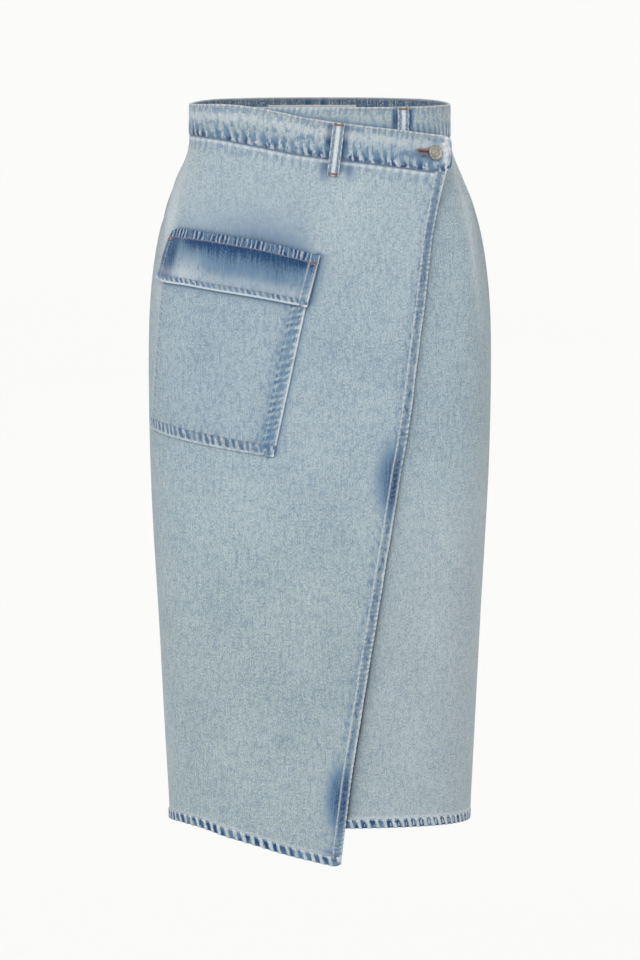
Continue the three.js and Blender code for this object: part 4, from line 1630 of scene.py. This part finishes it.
def washed_denim(name, tones, contrast, look, seams):
    """Right-hand twill of cotton, stonewashed.

    It reads as dry, matt cloth, mottled where the indigo has worn off the warp, with its seams roped.
    """
    constants = {"Roughness": 0.92, "Specular IOR Level": 0.25}
    sheen = {"Sheen Weight": 0.12, "Sheen Roughness": 0.6}
    material, tree, shader = surface(name, {**constants, **sheen})
    lay = add(tree, "ShaderNodeAttribute", out="Vector", attribute_name="lay")
    names = ("indigo", "fade_and_highlight", "mottle", "warm_tint_and_shade", "shade")
    facts = [add(tree, "ShaderNodeAttribute", out="Fac", attribute_name=fact) for fact in names]
    indigo, fade_and_highlight, mottle, warm_tint_and_shade, shade = facts
    speckle = weave_noise(tree, lay, SPECKLE, 3.0)
    blotch = weave_noise(tree, lay, BLOTCH, 3.0)
    patchy = weave_noise(tree, lay, PATCH, 1.0)
    slub = weave_noise(tree, lay, SLUB, 1.0)
    cloud = weave_noise(tree, lay, CLOUD, 2.0)

    # The washed cloth's own tones
    tone = 0.5 - 2.15 * contrast
    for noise, share in ((speckle, 2.8), (blotch, 0.5), (slub, 0.5), (cloud, 0.5)):
        tone = add(tree, "ShaderNodeMath", {0: noise, 1: share * contrast, 2: tone}, **TIMES_PLUS)
    low = add(tree, "ShaderNodeMapRange", {0: tone, 1: 0.0, 2: 0.5})
    high = add(tree, "ShaderNodeMapRange", {0: tone, 1: 0.5, 2: 1.0})
    deep, middle, light = tones
    colour = add(tree, "ShaderNodeMix", {0: low, 6: deep, 7: middle}, **OVER)
    colour = add(tree, "ShaderNodeMix", {0: high, 6: colour, 7: light}, **OVER)
    # A warm tint: the band's own colour, and painted shade beside the side seams and towards the hem
    colour = add(tree, "ShaderNodeMix", {0: warm_tint_and_shade, 6: colour, 7: look.warm_tint_and_shade}, **TINT)

    # Dark stains and white flecks where it is mottled
    stain = add(tree, "ShaderNodeMapRange", {0: blotch, 1: 0.5, 2: 0.4}, **SMOOTH)
    colour = dyed(tree, colour, add(tree, "ShaderNodeMath", {0: stain, 1: mottle}, **TIMES), look)
    half_slub = add(tree, "ShaderNodeMath", {0: slub, 1: 0.5}, operation="MULTIPLY")
    fleck = add(tree, "ShaderNodeMath", {0: speckle, 1: 0.5, 2: half_slub}, **TIMES_PLUS)
    fleck = add(tree, "ShaderNodeMapRange", {0: fleck, 1: 0.53, 2: 0.68}, **SMOOTH)
    fleck = add(tree, "ShaderNodeMath", {0: fleck, 1: mottle}, **TIMES)
    colour = add(tree, "ShaderNodeMix", {0: fleck, 6: colour, 7: look.worn}, **OVER)

    # Cloth that has kept its dye, and cloth that is rubbed bare, with painted shadow and painted light laid
    # in the same way
    frayed = add(tree, "ShaderNodeMath", {0: slub, 1: -0.2}, operation="ADD")
    frayed = add(tree, "ShaderNodeMath", {0: speckle, 1: 1.4, 2: frayed}, **TIMES_PLUS)
    colour = dyed(tree, colour, add(tree, "ShaderNodeMath", {0: indigo, 1: frayed}, **TIMES), look)
    rubbed = add(tree, "ShaderNodeMath", {0: speckle, 1: 1.2, 2: 0.15}, **TIMES_PLUS)
    rubbed = add(tree, "ShaderNodeMath", {0: fade_and_highlight, 1: rubbed}, **TIMES)
    colour = add(tree, "ShaderNodeMix", {0: rubbed, 6: colour, 7: look.worn}, **OVER)

    # Seams, whose lumps wander more where the cloth is mottled
    centred = add(tree, "ShaderNodeMath", {0: blotch, 1: 2.0, 2: -1.0}, **TIMES_PLUS)
    wander = add(tree, "ShaderNodeMath", {0: centred, 1: mottle}, operation="MULTIPLY")
    for seam in seams:
        colour = roped(tree, colour, seam, wander, patchy, look)
    # Painted shade at the hips and beside the over front's edge, and the grey middle of that edge's turning
    colour = add(tree, "ShaderNodeMix", {0: shade, 6: colour, 7: look.shade}, **TINT)

    # Ribs and slubs, in tone and in relief
    ribs = twill(tree, lay)
    ribbed = add(tree, "ShaderNodeMapRange", {0: ribs, 3: 0.94, 4: 1.05})
    colour = add(tree, "ShaderNodeVectorMath", {0: colour, 1: ribbed}, operation="MULTIPLY")
    tree.links.new(colour, shader.inputs["Base Color"])
    raised = add(tree, "ShaderNodeMath", {0: ribs, 1: 0.35, 2: speckle}, **TIMES_PLUS)
    raised = add(tree, "ShaderNodeMath", {0: slub, 1: 0.4, 2: raised}, **TIMES_PLUS)
    relief = add(tree, "ShaderNodeBump", {"Height": raised, "Distance": 0.45 * MM, "Strength": 0.6})
    tree.links.new(relief, shader.inputs["Normal"])
    return material


def sewing_thread(name, tones):
    """Core-spun polyester, dulled by washing. It gives a soft, slightly silky line of even stitches."""
    material, tree, shader = surface(name, {"Roughness": 0.62, "Sheen Weight": 0.2})
    tone = add(tree, "ShaderNodeAttribute", out="Fac", attribute_name="tone")
    colour = add(tree, "ShaderNodeMix", {0: tone, 6: tones[0], 7: tones[1]}, **OVER)
    place = add(tree, "ShaderNodeTexCoord", out="Object")
    strands = add(tree, "ShaderNodeTexNoise", {"Vector": place, "Scale": 2500.0, "Detail": 1.0}, out="Fac")
    shade = add(tree, "ShaderNodeMapRange", {0: strands, 1: 0.3, 2: 0.7, 3: 0.85, 4: 1.1})
    colour = add(tree, "ShaderNodeVectorMath", {0: colour, 1: shade}, operation="MULTIPLY")
    tree.links.new(colour, shader.inputs["Base Color"])
    relief = add(tree, "ShaderNodeBump", {"Height": strands, "Distance": 0.1 * MM, "Strength": 0.5})
    tree.links.new(relief, shader.inputs["Normal"])
    return material


def cast_pewter(name, tones):
    """Antiqued pewter plate over a stamped cap. It gives a soft, worn grey metal, duller in patches."""
    material, tree, shader = surface(name, {"Metallic": 0.85})
    place = add(tree, "ShaderNodeTexCoord", out="Object")
    wear = add(tree, "ShaderNodeTexNoise", {"Vector": place, "Scale": 700.0, "Detail": 4.0}, out="Fac")
    share = add(tree, "ShaderNodeMapRange", {0: wear, 1: 0.35, 2: 0.65})
    colour = add(tree, "ShaderNodeMix", {0: share, 6: tones[0], 7: tones[1]}, **OVER)
    tree.links.new(colour, shader.inputs["Base Color"])
    rough = add(tree, "ShaderNodeMapRange", {0: wear, 1: 0.3, 2: 0.7, 3: 0.36, 4: 0.6})
    tree.links.new(rough, shader.inputs["Roughness"])
    relief = add(tree, "ShaderNodeBump", {"Height": wear, "Distance": 0.12 * MM, "Strength": 0.4})
    tree.links.new(relief, shader.inputs["Normal"])
    return material


def label_tape(name, tones):
    """Cream cotton tape, plain woven. It gives a flat, blank strip with a fine even thread."""
    material, tree, shader = surface(name, {"Roughness": 0.85, "Sheen Weight": 0.15})
    lay = add(tree, "ShaderNodeAttribute", out="Vector", attribute_name="lay")
    threads = {"Vector": lay, "Scale": 2 * math.pi / (20 * TAPE_PITCH)}
    warp = add(tree, "ShaderNodeTexWave", threads, out="Fac", bands_direction="X")
    weft = add(tree, "ShaderNodeTexWave", threads, out="Fac", bands_direction="Y")
    woven = add(tree, "ShaderNodeMath", {0: warp, 1: weft}, operation="MULTIPLY")
    uneven = weave_noise(tree, lay, (9.0, 3.0), 2.0)
    share = add(tree, "ShaderNodeMath", {0: woven, 1: 0.5, 2: uneven}, **TIMES_PLUS)
    colour = add(tree, "ShaderNodeMix", {0: share, 6: tones[0], 7: tones[1]}, **OVER)
    tree.links.new(colour, shader.inputs["Base Color"])
    relief = add(tree, "ShaderNodeBump", {"Height": woven, "Distance": 0.15 * MM, "Strength": 0.5})
    tree.links.new(relief, shader.inputs["Normal"])
    return material


def colour_prop(name, description, code):
    """A named colour that a user can change."""
    return bpy.props.FloatVectorProperty(
        name=name, description=description, subtype="COLOR", size=3, min=0, max=1, default=linear(code)
    )


class SkirtLooks(bpy.types.PropertyGroup):
    """Colours of the cloth, the threads, the label and the button"""

    light: colour_prop("Washed light", "Where the wash has taken most of the indigo", "#b9c6cc")
    middle: colour_prop("Washed", "The cloth's own colour after washing", "#9dafb9")
    deep: colour_prop("Washed deep", "Where some indigo is left between the threads", "#778c9e")
    # Blue and Indigo also colour painted shadow: beside the over front's edge, under the band, beside the
    # flap and the pocket, and on the band's end
    blue: colour_prop("Blue", "Cloth that has kept half its dye", "#66829b")
    indigo: colour_prop("Indigo", "Unfaded cloth beside seams and under edges", "#1b4069")
    # The warm tint is the band's own colour, and painted shade beside the side seams and towards the hem
    warm_tint_and_shade: colour_prop("Yellowed", "Tint of the cloth at the sides and the hem", "#f5eee2")
    # Shade is painted shade at the sides of the hips and painted shadow beside the over front's edge; it also
    # greys the middle of that edge's turning
    shade: colour_prop("Shade", "Tint of dirt at the hips and beside an overlapping edge", "#7b858a")
    # Worn white also paints the highlight down each hip and the paler top of the skirt
    worn: colour_prop("Worn white", "Bare cotton on rubbed edges and lumps", "#d6dbdd")
    inside_light: colour_prop("Inside light", "Lightest thread of the cloth's inside", "#848f99")
    inside_middle: colour_prop("Inside", "The cloth's inside", "#5f6c79")
    inside_deep: colour_prop("Inside deep", "Blue warp that shows inside", "#394a61")
    rust: colour_prop("Rust thread", "Topstitching of the band, the flap and the tacks", "#a8765a")
    rust_dark: colour_prop("Dark rust thread", "The same thread where it isn't faded", "#6f5548")
    pale_thread: colour_prop("Pale thread", "Topstitching faded to the colour of the cloth", "#cfd4d3")
    pale_thread_dark: colour_prop("Dark pale thread", "The same thread where it is less faded", "#a9adaa")
    pewter: colour_prop("Pewter", "Worn metal of the button", "#bcb9b1")
    pewter_dark: colour_prop("Dark pewter", "The metal in its hollows", "#85827b")
    label: colour_prop("Label", "The blank label", "#dedbd6")
    label_dark: colour_prop("Label shade", "Between the threads of the label", "#bdb8b1")


class SkirtStage(bpy.types.PropertyGroup):
    """Camera and light of the studio"""

    view_scale: bpy.props.FloatProperty(
        name="View scale",
        description="Millimetres of skirt for each pixel of the frame",
        default=1.04,
        min=0.1,
    )
    distance: bpy.props.FloatProperty(
        name="Camera distance", description="From the skirt to the camera", default=12, min=1, unit="LENGTH"
    )
    height: bpy.props.FloatProperty(
        name="Aim height", description="Height that the camera is aimed at", default=-0.3753, unit="LENGTH"
    )
    elevation: bpy.props.FloatProperty(
        name="Camera elevation",
        description="Angle from which the camera looks down",
        default=math.radians(5),
        subtype="ANGLE",
    )
    floor: bpy.props.FloatProperty(
        name="Floor", description="Height of the studio floor", default=-1.25, unit="LENGTH"
    )
    key: bpy.props.FloatProperty(
        name="Key light", description="Strength of the soft light before the skirt", default=1.25, min=0
    )
    sky: bpy.props.FloatProperty(
        name="Ceiling", description="Strength of the even light from above", default=0.59, min=0
    )


class MakeMaterials(bpy.types.Operator):
    """Make the cloth, thread, label and metal materials"""

    bl_idname = "skirt.materials"
    bl_label = "Materials"

    def execute(self, context):
        look = context.scene.skirt_looks
        seams = ["seam_1", "seam_2", "seam_3", "seam_4"]
        washed_denim("denim", (look.deep, look.middle, look.light), 1.0, look, seams)
        inside = (look.inside_deep, look.inside_middle, look.inside_light)
        washed_denim("denim_inside", inside, 1.3, look, [])
        washed_denim("denim_band_inside", (look.indigo, look.blue, look.middle), 1.6, look, [])
        sewing_thread("rust_thread", (look.rust_dark, look.rust))
        sewing_thread("pale_thread", (look.pale_thread_dark, look.pale_thread))
        cast_pewter("pewter", (look.pewter_dark, look.pewter))
        label_tape("label", (look.label_dark, look.label))
        return {"FINISHED"}


FRAME_PIXELS = 960  # height of the frame
SUNS = table(
    "name turn rise share",
    ("key", 15, 40, 1.0),
    ("rear", 200, 35, 0.65),
)
SUN_SPREAD = 28  # degrees, for soft shadows


def aim_camera(stage):
    """Looks straight at the front, far off and a little from above, as the photograph does."""
    data = bpy.data.cameras.new("camera")
    camera = bpy.data.objects.new("camera", data)
    back_off = Vector((0, -math.cos(stage.elevation), math.sin(stage.elevation)))
    camera.location = Vector((0, 0, stage.height)) + back_off * stage.distance
    camera.rotation_euler = (math.pi / 2 - stage.elevation, 0, 0)
    data.sensor_width = 36
    data.lens = data.sensor_width * stage.distance / (FRAME_PIXELS * stage.view_scale * MM)
    data.clip_end = 200
    return camera


def lay_floor(stage):
    """Matt painted boards, rolled smooth. They give a near-white ground that melts into the light."""
    bm = bmesh.new()
    bmesh.ops.create_circle(bm, cap_ends=True, segments=96, radius=70)
    bmesh.ops.translate(bm, verts=bm.verts, vec=(0, 0, stage.floor))
    mesh = bpy.data.meshes.new("floor")
    bm.to_mesh(mesh)
    bm.free()
    material, tree, shader = surface("painted_floor", {"Roughness": 0.9, "Specular IOR Level": 0.1})
    place = add(tree, "ShaderNodeTexCoord", out="Object")
    uneven = add(tree, "ShaderNodeTexNoise", {"Vector": place, "Scale": 0.4}, out="Fac")
    pale, white = Color(linear("#f6f6f5")), Color(linear("#f9f9f8"))
    colour = add(tree, "ShaderNodeMix", {0: uneven, 6: pale, 7: white}, **OVER)
    tree.links.new(colour, shader.inputs["Base Color"])
    mesh.materials.append(material)
    return bpy.data.objects.new("floor", mesh)


def light_sky(stage):
    """A white studio, bright all round at the height of the skirt and dimmer above."""
    world = bpy.data.worlds.new("studio")
    world.use_nodes = True
    tree = world.node_tree
    background = tree.nodes["Background"]
    background.inputs["Color"].default_value = (*linear("#fdfdfd"), 1)
    direction = add(tree, "ShaderNodeTexCoord", out="Generated")
    height = add(tree, "ShaderNodeSeparateXYZ", {0: direction}, out="Z")
    fall = {0: height, 1: 0.1, 2: 0.55, 3: 0.96, 4: stage.sky}
    tree.links.new(add(tree, "ShaderNodeMapRange", fall, **SMOOTH), background.inputs["Strength"])
    return world


def hang_sun(row, strength):
    """One soft sun from a turn round the skirt and a rise above it, in degrees."""
    light = bpy.data.lights.new(row["name"], "SUN")
    light.energy = strength * row["share"]
    light.angle = math.radians(SUN_SPREAD)
    lamp = bpy.data.objects.new(row["name"], light)
    lamp.rotation_euler = (math.radians(90 - row["rise"]), 0, math.radians(-row["turn"]))
    return lamp


class MakeStage(bpy.types.Operator):
    """Set up the camera, the floor and the soft studio light"""

    bl_idname = "skirt.stage"
    bl_label = "Stage"

    def execute(self, context):
        stage = context.scene.skirt_stage
        scene = context.scene
        scene.camera = aim_camera(stage)
        scene.collection.objects.link(scene.camera)
        floor = lay_floor(stage)
        scene.collection.objects.link(floor)
        scene.world = light_sky(stage)
        scene.view_settings.view_transform = "Standard"
        for row in SUNS:
            scene.collection.objects.link(hang_sun(row, stage.key))
        return {"FINISHED"}


class MakePanels(bpy.types.Operator):
    """Make the over front, the under front and the back, with their turned hems and edge"""

    bl_idname = "skirt.panels"
    bl_label = "Panels and hems"

    def execute(self, context):
        seam, far_seam = side_seam(HEM), 2 * half_round(HEM) - side_seam(HEM)
        folds = [over_hem_fold(), over_edge_fold()]
        over_front()
        under_hem = level_hem_fold("under_hem_fold", UNDER_EDGE_BOTTOM, seam, seed=21)
        under_front()
        back_hem = level_hem_fold("back_hem_fold", seam, far_seam, seed=31)
        back()
        return {"FINISHED"}


class MakeWaistband(bpy.types.Operator):
    """Make the three lengths of the waistband and the label inside it"""

    bl_idname = "skirt.waistband"
    bl_label = "Waistband"

    def execute(self, context):
        over_waistband()
        under_waistband()
        back_waistband()
        tape = label()
        return {"FINISHED"}


class MakePocket(bpy.types.Operator):
    """Make the patch pocket and its flap"""

    bl_idname = "skirt.pocket"
    bl_label = "Pocket and flap"

    def execute(self, context):
        pocket()
        flap()
        return {"FINISHED"}


class MakeLoops(bpy.types.Operator):
    """Make the belt loops"""

    bl_idname = "skirt.loops"
    bl_label = "Belt loops"

    def execute(self, context):
        for row in LOOPS:
            piece = belt_loop(row)
        return {"FINISHED"}


class MakeButton(bpy.types.Operator):
    """Make the button on its shank"""

    bl_idname = "skirt.button"
    bl_label = "Button"

    def execute(self, context):
        button()
        return {"FINISHED"}


# Name of each piece of sewing, its rows and its thread
SEWN = (
    ("hem_stitches", hem_stitches, "pale_thread"),
    ("side_seam_stitches", side_stitches, "pale_thread"),
    ("band_stitches", band_stitches, "rust_thread"),
    ("loop_stitches", loop_rows, "pale_thread"),
    ("loop_bar_tacks", loop_tacks, "rust_thread"),
    ("pocket_rust_stitches", pocket_rust_rows, "rust_thread"),
    ("pocket_pale_stitches", pocket_pale_rows, "pale_thread"),
    ("flap_bar_tacks", flap_tacks, "rust_thread"),
    ("buttonhole_stitches", buttonhole_stitches, "rust_thread"),
)


class MakeStitches(bpy.types.Operator):
    """Sew the rows of stitches, the bar tacks and the buttonhole"""

    bl_idname = "skirt.stitches"
    bl_label = "Stitches"

    def execute(self, context):
        for name, rows, thread in SEWN:
            stitches(name, list(rows()), thread)
        return {"FINISHED"}


class SkirtPanel(bpy.types.Panel):
    """Lists the steps that dress the skirt, and its sizes and colours"""

    bl_idname = "VIEW3D_PT_skirt"
    bl_label = "Denim Skirt"
    bl_space_type = "VIEW_3D"
    bl_region_type = "UI"
    bl_category = "Skirt"

    def draw(self, context):
        for step in STEPS:
            self.layout.operator(step.bl_idname)
        for group in (context.scene.skirt_looks, context.scene.skirt_stage):
            for name in group.bl_rna.properties.keys():
                if name not in {"rna_type", "name"}:
                    self.layout.prop(group, name)


STEPS = (
    MakeMaterials,
    MakeStage,
    MakePanels,
    MakeWaistband,
    MakePocket,
    MakeLoops,
    MakeButton,
    MakeStitches,
)
CLASSES = (SkirtLooks, SkirtStage, *STEPS, SkirtPanel)


def register():
    for made in CLASSES:
        bpy.utils.register_class(made)
    bpy.types.Scene.skirt_looks = bpy.props.PointerProperty(type=SkirtLooks)
    bpy.types.Scene.skirt_stage = bpy.props.PointerProperty(type=SkirtStage)


def unregister():
    del bpy.types.Scene.skirt_stage
    del bpy.types.Scene.skirt_looks
    for made in reversed(CLASSES):
        bpy.utils.unregister_class(made)


def main():
    register()
    bpy.ops.skirt.materials()
    bpy.ops.skirt.stage()
    bpy.ops.skirt.panels()
    bpy.ops.skirt.waistband()
    bpy.ops.skirt.pocket()
    bpy.ops.skirt.loops()
    bpy.ops.skirt.button()
    bpy.ops.skirt.stitches()


if __name__ == "__main__":
    main()
